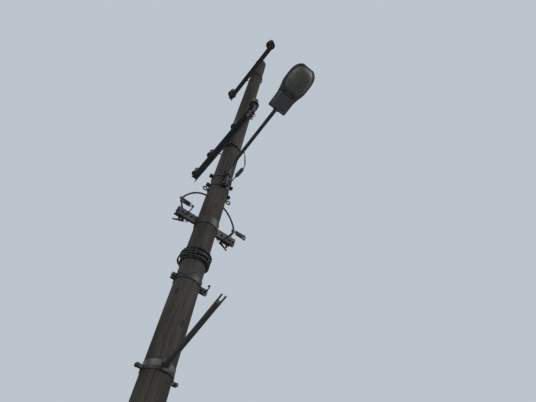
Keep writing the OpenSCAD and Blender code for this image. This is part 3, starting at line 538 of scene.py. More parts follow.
class Build:
    # collects solids, so that many of them become one mesh
    def __init__(self):
        self.points = []
        self.faces = []

    def add(self, points, faces, turn=still):
        first = len(self.points)
        self.points += moved(turn, points)
        self.faces += [tuple(first + i for i in face) for face in faces]

    def rings(self, rings, turn=still, closed=False, caps=True, loop=True):
        # skin over rings of the same number of points
        n = len(rings[0])
        m = len(rings)
        faces = []
        for j in range(m if closed else m - 1):
            here = j * n
            over = (j + 1) % m * n
            faces += [(here + i, here + (i + 1) % n, over + (i + 1) % n, over + i)
                      for i in range(n if loop else n - 1)]
        if caps and not closed:
            faces += [tuple(range(n))[::-1], tuple((m - 1) * n + i for i in range(n))]
        self.add([p for ring in rings for p in ring], faces, turn)

    def lathe(self, profile, steps, turn=still):
        # profile of (radius, height) round Z
        self.rings([level(z, r, steps) for r, z in profile], turn)

    def tube(self, path, radius, sides, closed=False, turn=still, roundEnds=False):
        path = [Vector(p) for p in path]
        radii = [radius] * len(path)
        if roundEnds:
            # shares of the radius: across, and past the end
            tips = ((0.87, 0.50), (0.50, 0.87), (0.15, 0.99))
            first = (path[0] - path[1]).normalized() * radius
            last = (path[-1] - path[-2]).normalized() * radius
            path = ([path[0] + first * out for share, out in tips[::-1]] + path
                    + [path[-1] + last * out for share, out in tips])
            shares = [radius * share for share, out in tips]
            radii = shares[::-1] + radii + shares
        count = len(path)
        side = None
        rings = []
        for i, point in enumerate(path):
            after = path[(i + 1) % count] if closed or i + 1 < count else point
            before = path[i - 1] if closed or i > 0 else point
            along = (after - before).normalized()
            if side is None:
                side = along.orthogonal().normalized()
            side = (side - along * side.dot(along)).normalized()
            rings.append(circle(point, side, along.cross(side), radii[i], sides))
        self.rings(rings, turn, closed)

    def block(self, size, turn=still, edge=0.0, steps=2):
        # box round the origin with rounded edges
        shape = bmesh.new()
        bmesh.ops.create_cube(shape, size=1.0)
        bmesh.ops.scale(shape, vec=size, verts=shape.verts)
        if edge:
            bmesh.ops.bevel(shape, geom=list(shape.edges), offset=edge, segments=steps, affect="EDGES",
                            profile=0.5)
        shape.verts.index_update()
        faces = [tuple(v.index for v in f.verts) for f in shape.faces]
        self.add([v.co.copy() for v in shape.verts], faces, turn)
        shape.free()

    def piece(self, name, slotName, stands=(), sharp=32, wall=0.0, look=None):
        mesh = meshOf(name, self.points, [], self.faces)
        shape = bmesh.new()
        shape.from_mesh(mesh)
        bmesh.ops.remove_doubles(shape, verts=shape.verts, dist=2e-6)
        bmesh.ops.recalc_face_normals(shape, faces=shape.faces)
        shape.to_mesh(mesh)
        shape.free()
        piece = linked(name, mesh)
        if wall:
            skin = piece.modifiers.new("wall", "SOLIDIFY")
            skin.thickness = wall
            skin.offset = -1.0
            settle(piece)
        setPiece(piece, slotName, stands, sharp, look)


def settle(piece):
    # turns the result of a piece's modifiers into its plain mesh
    made = bpy.data.meshes.new_from_object(piece.evaluated_get(bpy.context.evaluated_depsgraph_get()))
    piece.modifiers.clear()
    piece.data = made


def setPiece(piece, slotName, stands, sharp, look=None):
    piece.data.shade_smooth()
    piece.data.set_sharp_from_angle(angle=math.radians(sharp))
    piece.data.materials.clear()
    piece.data.materials.append(look or finish[slotName])
    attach(piece, "root")
    if stands:
        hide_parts(*stands)
    print("piece", piece.name, len(piece.data.polygons), "faces")


def hoop(start, sides, radius, rim, thick):
    ring = start.node("GeometryNodeCurvePrimitiveCircle", {}, {0: sides, 4: radius})
    band = start.node("GeometryNodeCurvePrimitiveCircle", {}, {0: rim, 4: thick})
    return start.node("GeometryNodeCurveToMesh", {}, {"Curve": ring, "Profile Curve": band})


def stampShape(start, kind):
    # small part of unit size, with its axis on Z
    if kind == "thread":
        return hoop(start, 22, 1.0, 4, 0.10)
    if kind == "tie":
        loop = hoop(start, 20, 1.06, 6, 0.16)
        head = start.node("GeometryNodeMeshCube", {}, {"Size": (0.55, 0.5, 0.5)})
        head = start.node("GeometryNodeTransform", {}, {"Geometry": head, "Translation": (1.25, 0, 0)})
        return joined(start, loop, head)
    if kind == "screw":
        head = start.node("GeometryNodeMeshCylinder", {}, {"Vertices": 16, "Radius": 1.0, "Depth": 0.5})
        crown = start.node("GeometryNodeMeshCylinder", {}, {"Vertices": 6, "Radius": 0.72, "Depth": 1.5})
        return joined(start, head, crown)
    drop = start.node("GeometryNodeMeshIcoSphere", {}, {"Radius": 1.0, "Subdivisions": 2})
    return start.node("GeometryNodeTransform", {}, {"Geometry": drop, "Scale": (1.0, 1.0, 0.6)})


def joined(start, *shapes):
    join = start.tree.nodes.new("GeometryNodeJoinGeometry")
    for shape in shapes:
        start.tree.links.new(shape.link, join.inputs[0])
    return Sock(start.tree, join.outputs[0])


def followTree(kind):
    # lays a small part again and again along a path, at the size and aim that the path's points give
    tree = bpy.data.node_groups.new(kind + "Along", "GeometryNodeTree")
    tree.interface.new_socket("Path", in_out="INPUT", socket_type="NodeSocketGeometry")
    names = {}
    for label, sort in (("Spacing", "Float"), ("Uneven", "Float"), ("Seed", "Int"), ("Finish", "Material")):
        made = tree.interface.new_socket(label, in_out="INPUT", socket_type="NodeSocket" + sort)
        names[label] = made.identifier
    tree.interface.new_socket("Parts", in_out="OUTPUT", socket_type="NodeSocketGeometry")
    start = Sock(tree)
    given = tree.nodes.new("NodeGroupInput")
    wanted = {name: Sock(tree, given.outputs[name]) for name in ["Path"] + list(names)}
    line = start.node("GeometryNodeMeshToCurve", {}, {0: wanted["Path"]})
    line = start.node("GeometryNodeResampleCurve", {"mode": "LENGTH"},
                      {"Curve": line, "Length": wanted["Spacing"]})
    size = start.node("GeometryNodeInputNamedAttribute", {"data_type": "FLOAT"}, {"Name": "size"})
    aim = start.node("GeometryNodeInputNamedAttribute", {"data_type": "FLOAT_VECTOR"}, {"Name": "aim"})
    change = start.node("FunctionNodeRandomValue", {"data_type": "FLOAT"},
                        {2: -1.0, 3: 1.0, 8: wanted["Seed"]}, 1)
    turn = start.node("FunctionNodeAlignRotationToVector", {"axis": "Z"}, {"Vector": aim})
    laid = start.node("GeometryNodeInstanceOnPoints", {},
                      {"Points": line, "Instance": stampShape(start, kind), "Rotation": turn,
                       "Scale": size * (1 + change * wanted["Uneven"])})
    real = start.node("GeometryNodeRealizeInstances", {}, {0: laid})
    done = start.node("GeometryNodeSetMaterial", {}, {"Geometry": real, "Material": wanted["Finish"]})
    out = tree.nodes.new("NodeGroupOutput")
    tree.links.new(done.link, out.inputs[0])
    return tree, names


class Trail:
    # paths for followTree: each with the size and the aim of the parts on it
    def __init__(self):
        self.points = []
        self.edges = []
        self.sizes = []
        self.aims = []

    def add(self, path, size, aim=None, closed=False):
        first = len(self.points)
        path = [Vector(p) for p in path]
        last = len(path) - 1
        self.points += path
        self.edges += [(first + i, first + i + 1) for i in range(last)]
        if closed:
            self.edges.append((first + last, first))
        self.sizes += [size] * len(path)
        self.aims += [Vector(aim) if aim else path[min(i + 1, last)] - path[max(i - 1, 0)]
                      for i in range(last + 1)]

    def piece(self, name, kind, spacing, slotName, uneven=0.0, seed=1, sharp=40):
        mesh = meshOf(name, self.points, self.edges, [])
        mesh.attributes.new("size", "FLOAT", "POINT").data.foreach_set("value", self.sizes)
        flat = [c for aim in self.aims for c in aim.normalized()]
        mesh.attributes.new("aim", "FLOAT_VECTOR", "POINT").data.foreach_set("vector", flat)
        piece = linked(name, mesh)
        tree, names = followTree(kind)
        follow = piece.modifiers.new("follow", "NODES")
        follow.node_group = tree
        given = {"Spacing": spacing, "Uneven": uneven, "Seed": seed, "Finish": finish[slotName]}
        for label, value in given.items():
            follow[names[label]] = value
        settle(piece)
        setPiece(piece, slotName, (), sharp)


def weather(shape, z, radius):
    # how far the wood lies inside its plain taper, how open it is, and how far it moves round the pole
    rng = np.random.default_rng(shape["seed"])
    n = shape["columns"]
    pitch = math.tau / n
    step = shape["ridgeStep"]
    coarse = rng.normal(size=(int(shape["height"] / step) + 2, n))
    coarse = (coarse + np.roll(coarse, 1, 1)) / 1.4
    low = (z / step).astype(int)
    share = (z / step - low)[:, None]
    depth = shape["ridge"] * np.clip(coarse[low] * (1 - share) + coarse[low + 1] * share + 1.2, 0, 3)
    angle = np.arange(n)[None, :] * pitch
    for waves, rise, phase in shape["wobbles"]:
        depth += shape["wobble"] / waves * (1 + np.sin(waves * angle + rise * z[:, None] + phase))
    sideways = np.zeros((len(z), n))
    gap = np.zeros((len(z), n))
    taken = np.zeros((len(z), n), bool)
    top = z[-1]

    def cut(k, start, end, width, deep):
        # one check: column k goes in, and its neighbours close up beside it
        rows = np.arange(np.searchsorted(z, start), np.searchsorted(z, end))
        columns = [(k + j) % n for j in (-2, -1, 0, 1, 2)]
        if len(rows) < 4 or taken[np.ix_(rows, columns)].any():
            return
        taken[np.ix_(rows, columns)] = True
        t = np.clip((z[rows] - start) / (end - start), 0, 1)
        size = np.sqrt(t) if end > top else np.sin(np.pi * t) ** 0.6
        size = size * (1 + 0.22 * rng.normal(size=len(rows))).clip(0.4, 1.5)
        half = np.maximum(width / 2 * size, shape["lip"]) / radius[rows]
        depth[rows, k] += deep * size
        gap[rows, k] = np.clip(0.35 + size, 0, 1)
        for way in (-1, 1):
            beside = (k + way) % n
            sideways[rows, beside] -= way * (pitch - half) * np.clip(size * 3, 0, 1)
            depth[rows, beside] += shape["lip"] * size
            gap[rows, beside] = 0.12 * size

    count, length, width, deep = shape["topChecks"]
    for i in range(count):
        k = int(i * n / count + rng.integers(0, 9))
        cut(k, top - rng.uniform(*length), top + 0.01, rng.uniform(*width), rng.uniform(*deep))
    for count, foot, length, width, deep in shape["checks"]:
        for i in range(count):
            start = rng.uniform(*foot)
            k = int(rng.integers(0, n))
            cut(k, start, start + rng.uniform(*length), rng.uniform(*width), rng.uniform(*deep))
    return depth, gap, angle + shape["twist"] * z[:, None] + sideways


def addPole(shape):
    n = shape["columns"]
    height = shape["height"]
    bodyTop = height - shape["bevel"]
    z = np.linspace(0.0, bodyTop, int(bodyTop / shape["rowHeight"]) + 1)
    m = len(z)
    radius = poleRadius(z)
    depth, gap, theta = weather(shape, z, radius)
    r = radius[:, None] - depth
    grid = np.stack([r * np.cos(theta), r * np.sin(theta), np.broadcast_to(z[:, None], (m, n))], axis=2)
    points = list(grid.reshape(-1, 3))
    marks = list(gap.reshape(-1))

    def band(low, high):
        # quads between the two rings of points that start at low and high
        return [(low + i, low + (i + 1) % n, high + (i + 1) % n, high + i) for i in range(n)]

    faces = [face for j in range(m - 1) for face in band(j * n, (j + 1) * n)]
    notch = gap[-1] > 0.3
    for keep, drop, share in shape["topRings"]:
        first = len(points)
        for i in range(n):
            here = radius[-1] * share * (1 - 0.06 * keep * notch[i])
            points.append((here * math.cos(theta[-1, i]), here * math.sin(theta[-1, i]),
                           height - drop - 0.006 * keep * notch[i]))
            marks.append(gap[-1, i] * keep)
        faces += band(first - n, first)
    centre = len(points)
    points += [(0, 0, height - 0.001), (0, 0, 0)]
    marks += [0.0, 0.0]
    faces += [(centre - n + i, centre - n + (i + 1) % n, centre) for i in range(n)]
    faces += [((i + 1) % n, i, centre + 1) for i in range(n)]
    mesh = meshOf("poleWood", points, [], faces)
    mesh.attributes.new("check", "FLOAT", "POINT").data.foreach_set("value", marks)
    setPiece(linked("poleWood", mesh), "wood", ["pole_shaft"], 42)


addPole(poleShape)


lampShape = {
    "length": 0.569, "tailWidth": 0.221, "width": 0.293, "height": 0.104, "wall": 0.003,
    "parting": -0.036,                # plane of the bowl ring, below the lamp's axis
    "pipeX": 0.14341, "bendRadius": 0.170, "bendZ": 5.431, "reach": 0.735, "armTilt": 15, "tilt": 18,
    "tailEdge": 0.007, "noseEdge": 0.012, "tailCorner": 0.022,
    "seamAt": 0.39, "seamDepth": 0.0016, "seamSteps": (-0.005, -0.0022, -0.0012, 0.0012, 0.0022, 0.005),
    "flange": 0.0042, "arcSteps": 56, "stationStep": 0.0085, "sideFlat": 0.62, "topFlat": 0.72,
    "trayRibY": 0.036, "trayRib": 0.0034, "collarTilt": 3,
    # radius and height
    "collar": ((0.0, 0.0), (0.031, 0.0), (0.0335, 0.0025), (0.0335, 0.009), (0.031, 0.0115), (0.0, 0.0115)),
    "seal": ((0.0, 0.0), (0.0245, 0.0), (0.0262, 0.002), (0.0262, 0.006), (0.0, 0.006)),
    "bowlAt": 0.70, "bowlA": 0.272, "bowlB": 0.43, "bowlPower": 0.8, "bowlDepth": 0.078, "bowlWall": 0.003,
    "ringWidth": 0.012, "ringHeight": 0.010, "ringSteps": 144, "levels": 26,
    "flutes": 72, "fluteDepth": 0.0007,
    "frameSteps": 160, "frameThick": 0.0022,
    "mirrorRows": 18, "mirrorSteps": 96, "mirrorDepth": 0.078,
    "rimScrews": 96, "screwStep": 0.118,
    "doorScrews": ((0.0163, 0.0976), (0.0163, -0.0976), (0.207, 0.0985), (0.207, -0.0985)),
}
atLamp = (shift(lampShape["pipeX"] + lampShape["bendRadius"], 0, lampShape["bendZ"])
          @ turned("Y", -lampShape["armTilt"]) @ shift(lampShape["reach"], 0, lampShape["bendRadius"])
          @ turned("Y", lampShape["armTilt"] - lampShape["tilt"]))
bowlCentre = lampShape["bowlAt"] * lampShape["length"]
bowlA = lampShape["bowlA"] * lampShape["length"]
bowlB = lampShape["bowlB"] * lampShape["width"]


def lampHalf(x):
    # half width of the housing at a distance x from its tail
    s = lampShape
    length = s["length"]
    t = min(max((x - 0.25 * length) / (0.37 * length), 0), 1)
    corner = s["tailCorner"]
    edge = corner * (1 - math.sqrt(1 - (1 - x / corner) ** 2)) if x < corner else 0
    if x < 0.68 * length:
        growth = (s["width"] - s["tailWidth"]) / 2 * (1 - math.cos(math.pi * t)) / 2
        return s["tailWidth"] / 2 + growth - 0.8 * edge
    nose = (x - 0.68 * length) / (1.03 * 0.32 * length)
    return s["width"] / 2 * (1 - nose ** 2.75) ** (1 / 2.75)


def lampRoof(x):
    # height of the housing above its parting plane
    t = x / lampShape["length"]
    crown = 0.70 + 0.30 * math.sin(math.pi * t ** 0.8)
    return lampShape["height"] * crown * math.sqrt(1 - (t / 1.02) ** 7)


def signedPower(value, power):
    return math.copysign(abs(value) ** power, value)


def oval(t, a, b, power, other=None):
    # place at angle t on a rounded rectangle with the half sides a and b
    return a * signedPower(math.cos(t), power), b * signedPower(math.sin(t), other or power)


def lampStations(s):
    length = s["length"]
    seam = s["seamAt"] * length
    tail = [s["tailEdge"] * (1 - math.cos(math.pi / 2 * i / 6)) for i in range(7)]
    nose = [length - s["noseEdge"] * (1 - math.sin(math.pi / 2 * i / 8)) for i in range(9)]
    step = s["stationStep"]
    middle = [0.014 + step * i for i in range(int((nose[0] - 0.016) / step))]
    middle = [x for x in middle if abs(x - seam) > 0.006]
    return sorted(tail + nose + middle + [seam + d for d in s["seamSteps"]])


def addHousing(s):
    length = s["length"]
    seam = s["seamAt"] * length
    build = Build()
    rings = []
    for x in lampStations(s):
        pull = 0.0
        if x < s["tailEdge"]:
            pull = s["tailEdge"] * (1 - math.sqrt(1 - (1 - x / s["tailEdge"]) ** 2))
        if x > length - s["noseEdge"]:
            pull = s["noseEdge"] * (1 - math.sqrt(max(0, 1 - ((x - length) / s["noseEdge"] + 1) ** 2)))
        if abs(x - seam) < 0.0015:
            pull = s["seamDepth"]
        half = lampHalf(x) - pull
        roof = lampRoof(x) - pull
        ring = []
        for i in range(s["arcSteps"] + 1):
            a = math.pi * (1 - i / s["arcSteps"])
            ring.append((x, half * signedPower(math.cos(a), s["sideFlat"]),
                         s["parting"] + roof * abs(math.sin(a)) ** s["topFlat"]))
        rings.append(ring)
    build.rings(rings, atLamp, caps=False, loop=False)
    n = len(rings[0])
    for ring in (rings[0], rings[-1]):
        build.add(ring, [tuple(range(n))], atLamp)
    build.piece("lampHousing", "lamp_alloy", ["lamp_housing"], 40, s["wall"])
    trim = Build()
    edge = [Vector((x, lampHalf(x) - 0.0012, s["parting"] + 0.0035)) for x in lampStations(s) if x > 0.003]
    edge[-1].x -= 0.003
    rim = edge + [Vector((p.x, -p.y, p.z)) for p in reversed(edge)]
    trim.tube(moved(atLamp, rim), s["flange"], 10, closed=True)
    for y in (-s["trayRibY"], s["trayRibY"]):              # stiffening ribs along the gear tray's roof
        line = [(x, y, s["parting"] + lampRoof(x) * (1 - abs(y / lampHalf(x)) ** 3.2) - 0.0008)
                for x in np.linspace(0.030, seam - 0.030, 14)]
        trim.tube(moved(atLamp, line), s["trayRib"], 8, roundEnds=True)
    tail = atLamp @ turned("Y", s["collarTilt"]) @ turned("Y", 90)
    trim.lathe(s["collar"], 40, tail @ shift(0, 0, -0.0095))
    trim.piece("housingTrim", "lamp_alloy")
    seal = Build()
    seal.lathe(s["seal"], 40, tail @ shift(0, 0, -0.0152))
    seal.piece("spigotSeal", "fuse_plastic")


doorShape = {
    "clear": 0.001,                   # gap between the door and the housing's outline
    "endPower": 0.24, "sidePower": 0.12, "steps": 144,
    # depth below the parting plane, inset from the door's edge
    "rings": ((0, 0.0), (0.0062, 0.0), (0.0076, 0.0008), (0.0080, 0.0022), (0.0080, 0.0125),
              (0.0084, 0.0140), (0.0100, 0.0155), (0.0210, 0.0205), (0.0240, 0.0225), (0.0256, 0.0255),
              (0.0260, 0.0290)),
    "ribPlaces": (-0.045, 0, 0.045), "ribRun": (0.048, 0.09, 0.135, 0.178), "rib": 0.0046, "ribDeep": 0.0238,
    "hingeY": 0.062, "barrel": 0.0040, "barrelHalf": 0.017, "pin": 0.0028, "pinHalf": 0.021,
    # the latch's wire, from one end to its middle
    "bail": ((0.016, -0.030, -0.012), (0.004, -0.030, -0.016), (-0.0035, -0.026, -0.010),
             (-0.0035, -0.022, 0.004)),
    "bailWire": 0.0017,
}


def doorLoop(s, end, inset):
    # outline of the gear door at an inset from its edge; its tail corners follow the housing's
    clear = s["clear"]
    loop = []
    for t in turnsOf(s["steps"], 0.5):
        out, side = oval(t, (end - clear) / 2 - inset, 1, s["endPower"], s["sidePower"])
        x = (clear + end) / 2 + out
        half = min(lampHalf(max(x, clear)), lampShape["tailWidth"] / 2) - clear
        loop.append((x, (half - inset) * side))
    return loop


def addGearDoor(s, lamp):
    end = lamp["seamAt"] * lamp["length"]
    foot = lamp["parting"] - 0.0005
    build = Build()
    build.rings([[(x, y, foot - depth) for x, y in doorLoop(s, end, inset)] for depth, inset in s["rings"]],
                atLamp)
    for y in s["ribPlaces"]:            # pressed in the tray
        line = [(x, y, foot - s["ribDeep"]) for x in s["ribRun"]]
        build.tube(moved(atLamp, line), s["rib"], 16, roundEnds=True)
    build.piece("gearDoor", "lamp_alloy", ["gear_door"], 36)
    parts = Build()
    r, half = s["barrel"], s["barrelHalf"]
    barrel = [(0, -half), (r, -half), (r, half), (0, half)]
    r, half = s["pin"], s["pinHalf"]
    pin = [(0, -half), (r - 0.0006, -half), (r, 0.002 - half)]
    pin += [(r, -z) for r, z in reversed(pin)]
    for side in (-1, 1):
        hinge = atLamp @ shift(end + 0.004, side * s["hingeY"], foot - 0.0125) @ turned("X", 90)
        parts.lathe(barrel, 20, hinge)
        parts.lathe(pin, 14, hinge)
        parts.block((0.016, 0.026, 0.0028), atLamp @ shift(end - 0.005, side * s["hingeY"], foot - 0.0094),
                    0.0008)
    bail = smoothPath(s["bail"] + tuple((x, -y, z) for x, y, z in reversed(s["bail"])), 4)
    parts.tube(moved(atLamp @ shift(0, 0, foot), bail), s["bailWire"], 8, roundEnds=True)
    parts.block((0.018, 0.070, 0.003), atLamp @ shift(0.014, 0, foot - 0.0105), 0.001)
    parts.piece("doorLatch", "zinc")


def rimPoint(t, grow, z=0.0, share=1.0):
    # place round the bowl's rim, grown outward or drawn in to a share of it
    x, y = oval(t, (bowlA + grow) * share, (bowlB + grow) * share, lampShape["bowlPower"])
    return Vector((bowlCentre + x, y, z))


def addBowl(s):
    top = s["parting"] - 0.0005
    w = s["ringWidth"]
    h = s["ringHeight"]

    def carried(section):
        # section of (growth, height) that runs round the rim
        build = Build()
        build.rings([[rimPoint(t, grow, top + z) for grow, z in section]
                     for t in turnsOf(s["ringSteps"], 0.5)], atLamp, closed=True)
        return build

    ring = carried([(0.0, 0.0), (w - 0.001, 0.0), (w, -0.001), (w, -0.006), (w - 0.002, -h + 0.001),
                    (w - 0.0035, -h), (0.0025, -h), (0.0008, -h + 0.0008), (0.0, -h + 0.002)])
    ring.piece("bowlRing", "lamp_alloy", ["bowl_ring"], 34)
    gasket = carried([(-0.0034, -h + 0.0012), (0.0012, -h + 0.0012), (0.0012, -h - 0.0012),
                      (-0.0010, -h - 0.0022), (-0.0034, -h - 0.0012)])
    gasket.piece("bowlGasket", "fuse_plastic")

    def skin(wall):
        # one side of the bowl, from its upper edge to its foot; the inner side is fluted
        rings = []
        for j in range(s["levels"] + 1):
            a = math.pi / 2 * j / s["levels"]
            share = math.cos(a)
            z = top - h - (s["bowlDepth"] - wall) * math.sin(a)
            ring = []
            for i, t in enumerate(turnsOf(s["flutes"] * 4, 0.5)):
                flute = s["fluteDepth"] * (i % 4) / 3 * min(share * 2, 1) if wall else 0
                ring.append(rimPoint(t, -0.0003 - wall - flute, z, share))
            rings.append(ring)
        return [[(x, y, top) for x, y, z in rings[0]]] + rings

    bowl = Build()
    bowl.rings(skin(0)[::-1] + skin(s["bowlWall"]), atLamp, caps=False)
    bowl.piece("lampBowl", "bowl_glass", ["lamp_bowl"], 50)


def wallReach(s, t):
    # how far the housing's wall is from the bowl's middle in the direction t
    far = 0.0
    reach = 0.4
    for halving in range(22):
        middle = (far + reach) / 2
        x = bowlCentre + middle * math.cos(t)
        inside = s["seamAt"] * s["length"] - 0.006 < x < s["length"] - 0.003
        if inside and abs(middle * math.sin(t)) < lampHalf(x) - 0.0026:
            far = middle
        else:
            reach = middle
    return far


def addOpticFrame(s):
    # flat plate that closes the housing round the bowl ring
    low = s["parting"] - 0.0002
    high = low + s["frameThick"]
    power = 2 / s["bowlPower"]
    rings = []
    for t in turnsOf(s["frameSteps"], 0.5):
        near = (abs(math.cos(t) / (bowlA + 0.004)) ** power
                + abs(math.sin(t) / (bowlB + 0.004)) ** power) ** (-1 / power)
        far = max(wallReach(s, t), near + 0.002)
        rings.append([(bowlCentre + r * math.cos(t), r * math.sin(t), z)
                      for r, z in ((near, low), (far, low), (far, high), (near, high))])
    build = Build()
    build.rings(rings, atLamp, closed=True)
    build.piece("opticFrame", "lamp_alloy")


def addReflector(s):
    steps = s["mirrorSteps"]
    rows = []
    for j in range(s["mirrorRows"] + 1):
        a = math.pi / 2 * j / s["mirrorRows"]
        share = max(math.cos(a) ** 0.62, 0.02)
        z = s["parting"] + 0.001 + s["mirrorDepth"] * math.sin(a) * 0.98
        rows.append([rimPoint(t, -0.006, z, share) for t in turnsOf(steps)])
    build = Build()
    build.rings(rows, atLamp, caps=False)
    build.add(rows[-1], [tuple(range(steps))], atLamp)
    build.piece("reflector", "lamp_alloy", (), 60, 0.001, reflectorFinish)


def addLampScrews(s):
    screws = Trail()
    down = atLamp.to_3x3() @ Vector((0, 0, -1))
    rim = [rimPoint(t, 0.0065, s["parting"] - 0.0112) for t in turnsOf(s["rimScrews"], 0.5)]
    screws.add(moved(atLamp, rim), 0.0042, down, closed=True)
    for x, y in s["doorScrews"]:
        place = atLamp @ Vector((x, y, s["parting"] - 0.0092))
        screws.add([place, place + Vector((0.0005, 0, 0))], 0.0048, down)
    screws.piece("lampScrews", "screw", s["screwStep"], "zinc")


addHousing(lampShape)
addGearDoor(doorShape, lampShape)
addBowl(lampShape)
addOpticFrame(lampShape)
addReflector(lampShape)
addLampScrews(lampShape)


# sizes of the shared hardware, as the frame's own pieces have them
bracketLow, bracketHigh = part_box("bracket_front")
kit = {
    "seat": 0.0003,                   # working gap under whatever is clamped on
    "plate": 0.006, "wingFace": bracketLow.x + 0.006,
    "bracketZ": (bracketLow.z + bracketHigh.z) / 2,
    "hookRod": 0.012, "hookLoop": 0.020,
    "frontHookAt": 0.126, "frontReach": 0.100, "rearHookAt": 0.070, "rearReach": 0.050,
}
mirrorX = Matrix.Diagonal((-1, 1, 1, 1))


def seated(z):
    # inner radius of what is clamped round the pole at a height z
    return poleRadius(z) + kit["seat"]


dropClampShape = {
    "length": 0.110, "bailLength": 0.046, "bailRadius": 0.0088, "bailWire": 0.0025,
    "mouth": 0.0138, "tail": 0.0072, "half": 0.008, "sheet": 0.0016, "lip": 0.0042, "corner": 0.0032,
    # share of the length, and how far the shell's ends flare
    "flare": ((0, 0.0022), (0.02, 0.0014), (0.05, 0.0), (0.3, 0.0), (0.6, 0.0), (0.9, 0.0), (0.96, 0.0007),
              (1.0, 0.0017)),
    # share of the length, and of the shell's width
    "wedge": ((-0.07, 0.55), (-0.06, 0.85), (-0.02, 0.95), (0.06, 0.78), (0.82, 0.72), (0.86, 0.5)),
    "wedgeHigh": 0.0046, "teeth": (0.2, 0.32, 0.44, 0.56, 0.68),
    "fan": ((-50, 70), (0, 88), (80, 84)),      # place round the hook's loop and turn away from it, degrees
}


def dropClampHalf(s, share):
    return s["mouth"] + (s["tail"] - s["mouth"]) * share


def addDropClamp(build, s, turn):
    r = s["bailRadius"]
    start = s["bailLength"]
    arc = [(-r * math.sin(math.pi * i / 14), r * math.cos(math.pi * i / 14), 0) for i in range(15)]
    eye = [(start + 0.052, 0.0036, 0.0), (start + 0.030, 0.0052, 0.0), (start + 0.008, r, 0)] + arc
    eye += [(x, -y, z) for x, y, z in reversed(eye[:3])]
    build.tube(eye, s["bailWire"], 8, turn=turn, roundEnds=True)
    t = s["sheet"]
    corner = s["corner"]
    rings = []
    for share, flare in s["flare"]:
        half = dropClampHalf(s, share) + flare
        x = start + share * s["length"]
        high = s["half"] + flare
        outer = [(half - s["lip"], high), (half - corner, high), (half - corner * 0.3, high - corner * 0.3),
                 (half, high - corner), (half, corner - high), (half - corner * 0.3, corner * 0.3 - high),
                 (half - corner, -high)]
        outer += [(-y, z) for y, z in reversed(outer)]
        inner = [(y - math.copysign(t, y) if abs(y) > half - corner else y, z - math.copysign(t, z))
                 for y, z in outer]
        inner[0] = (outer[0][0], high - t)
        inner[-1] = (outer[-1][0], high - t)
        rings.append([(x, y, z) for y, z in outer + inner[::-1]])
    build.rings(rings, turn)
    wedge = []
    for share, grow in s["wedge"]:
        half = dropClampHalf(s, max(share, 0)) * grow
        flat = [oval(t, half, s["wedgeHigh"] * grow, 0.4) for t in turnsOf(16, 0.5)]
        wedge.append([(start + share * s["length"], y, 0.001 + z) for y, z in flat])
    build.rings(wedge, turn)
    for share in s["teeth"]:            # pressed in the back
        build.block((0.003, dropClampHalf(s, share) * 1.2, 0.0014),
                    turn @ shift(start + share * s["length"], 0, -s["half"] - 0.0002), 0.0006, 1)


def addDropClamps(s):
    build = Build()
    for side in (-1, 1):
        for end in ("front", "rear"):
            y = side * (seated(bracketLow.z) + kit[end + "HookAt"])
            hook = shift(kit["wingFace"] + kit[end + "Reach"], y, kit["bracketZ"] + kit["hookLoop"])
            if end == "rear":
                hook = mirrorX @ hook
            for along, away in s["fan"]:
                addDropClamp(build, s, hook @ turned("Y", -along) @ shift(kit["hookLoop"], 0, 0)
                             @ turned("Z", side * away))
    build.piece("dropClamps", "zinc", ["drop_clamps"], 38)


addDropClamps(dropClampShape)

boltShape = {
    "pitch": 0.0022, "sink": 0.00035,           # of the thread's ridges in the rod
    "uRod": 0.016, "armPlate": 0.007, "washer": 0.003, "clampRod": 0.014, "pinRod": 0.018,
    # crossarms: height, leg of the angle, places of the pins, sheet of the strap under the last pin
    "arms": ((8.342, 0.065, (-0.573, 0.573), 0), (6.042, 0.075, (-0.694, -0.288, 0.288, 0.694), 0.005)),
}

# each clamp's bolts: the box that gives the clamp's lower edge, and the bolts' place past the ring
clampBolts = {
    "bracket_bolts": ("bracket_front", 0.234 - 1.3 * boltShape["clampRod"]),
    "middle_clamp_bolts": ("middle_clamp_front", 0.024),
    "lower_clamp_bolts": ("lower_clamp_rear", 0.066 - 1.3 * boltShape["clampRod"]),
    "lamp_band_upper": ("lamp_band_upper", 0.044 - 1.3 * boltShape["clampRod"]),
    "lamp_band_lower": ("lamp_band_lower", 0.044 - 1.3 * boltShape["clampRod"]),
}


def threadRuns(s):
    # every stretch of thread that shows: start, direction, length, rod
    runs = []
    for z, leg, places, sheet in s["arms"]:
        ring = seated(z)
        nut = s["washer"] + 0.8 * s["uRod"]
        for side in (-1, 1):
            start = (side * (ring + s["uRod"] / 2), -ring - s["armPlate"] - nut, z)
            runs.append((start, (0, -1, 0), 2.2 * s["uRod"] - nut, s["uRod"]))
        y = -(ring + s["armPlate"] / 2 + leg / 2)
        for x in places:
            plate = z + leg / 2 - s["armPlate"] - (sheet if x == places[-1] else 0)
            top = plate - s["washer"] - 0.8 * s["pinRod"]
            runs.append(((x, y, top), (0, 0, -1), 1.1 * s["pinRod"] - s["washer"], s["pinRod"]))
    for node, (clamp, past) in clampBolts.items():
        low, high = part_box(node)
        z = (low.z + high.z) / 2
        turn = turned("Z", 8) if node == "lower_clamp_bolts" else turned("Z", 0)
        at = seated(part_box(clamp)[0].z) + past
        for side in (-1, 1):
            start = turn @ Vector((-kit["wingFace"] - 0.8 * s["clampRod"], side * at, z))
            runs.append((start, turn @ Vector((-1, 0, 0)), 0.4 * s["clampRod"], s["clampRod"]))
    for at, mirrored in ((kit["frontHookAt"], 1), (kit["rearHookAt"], -1)):
        for side in (-1, 1):
            x = -mirrored * (kit["wingFace"] + 0.8 * kit["hookRod"])
            y = side * (seated(bracketLow.z) + at)
            runs.append(((x, y, kit["bracketZ"]), (-mirrored, 0, 0), 0.6 * kit["hookRod"], kit["hookRod"]))
    return runs


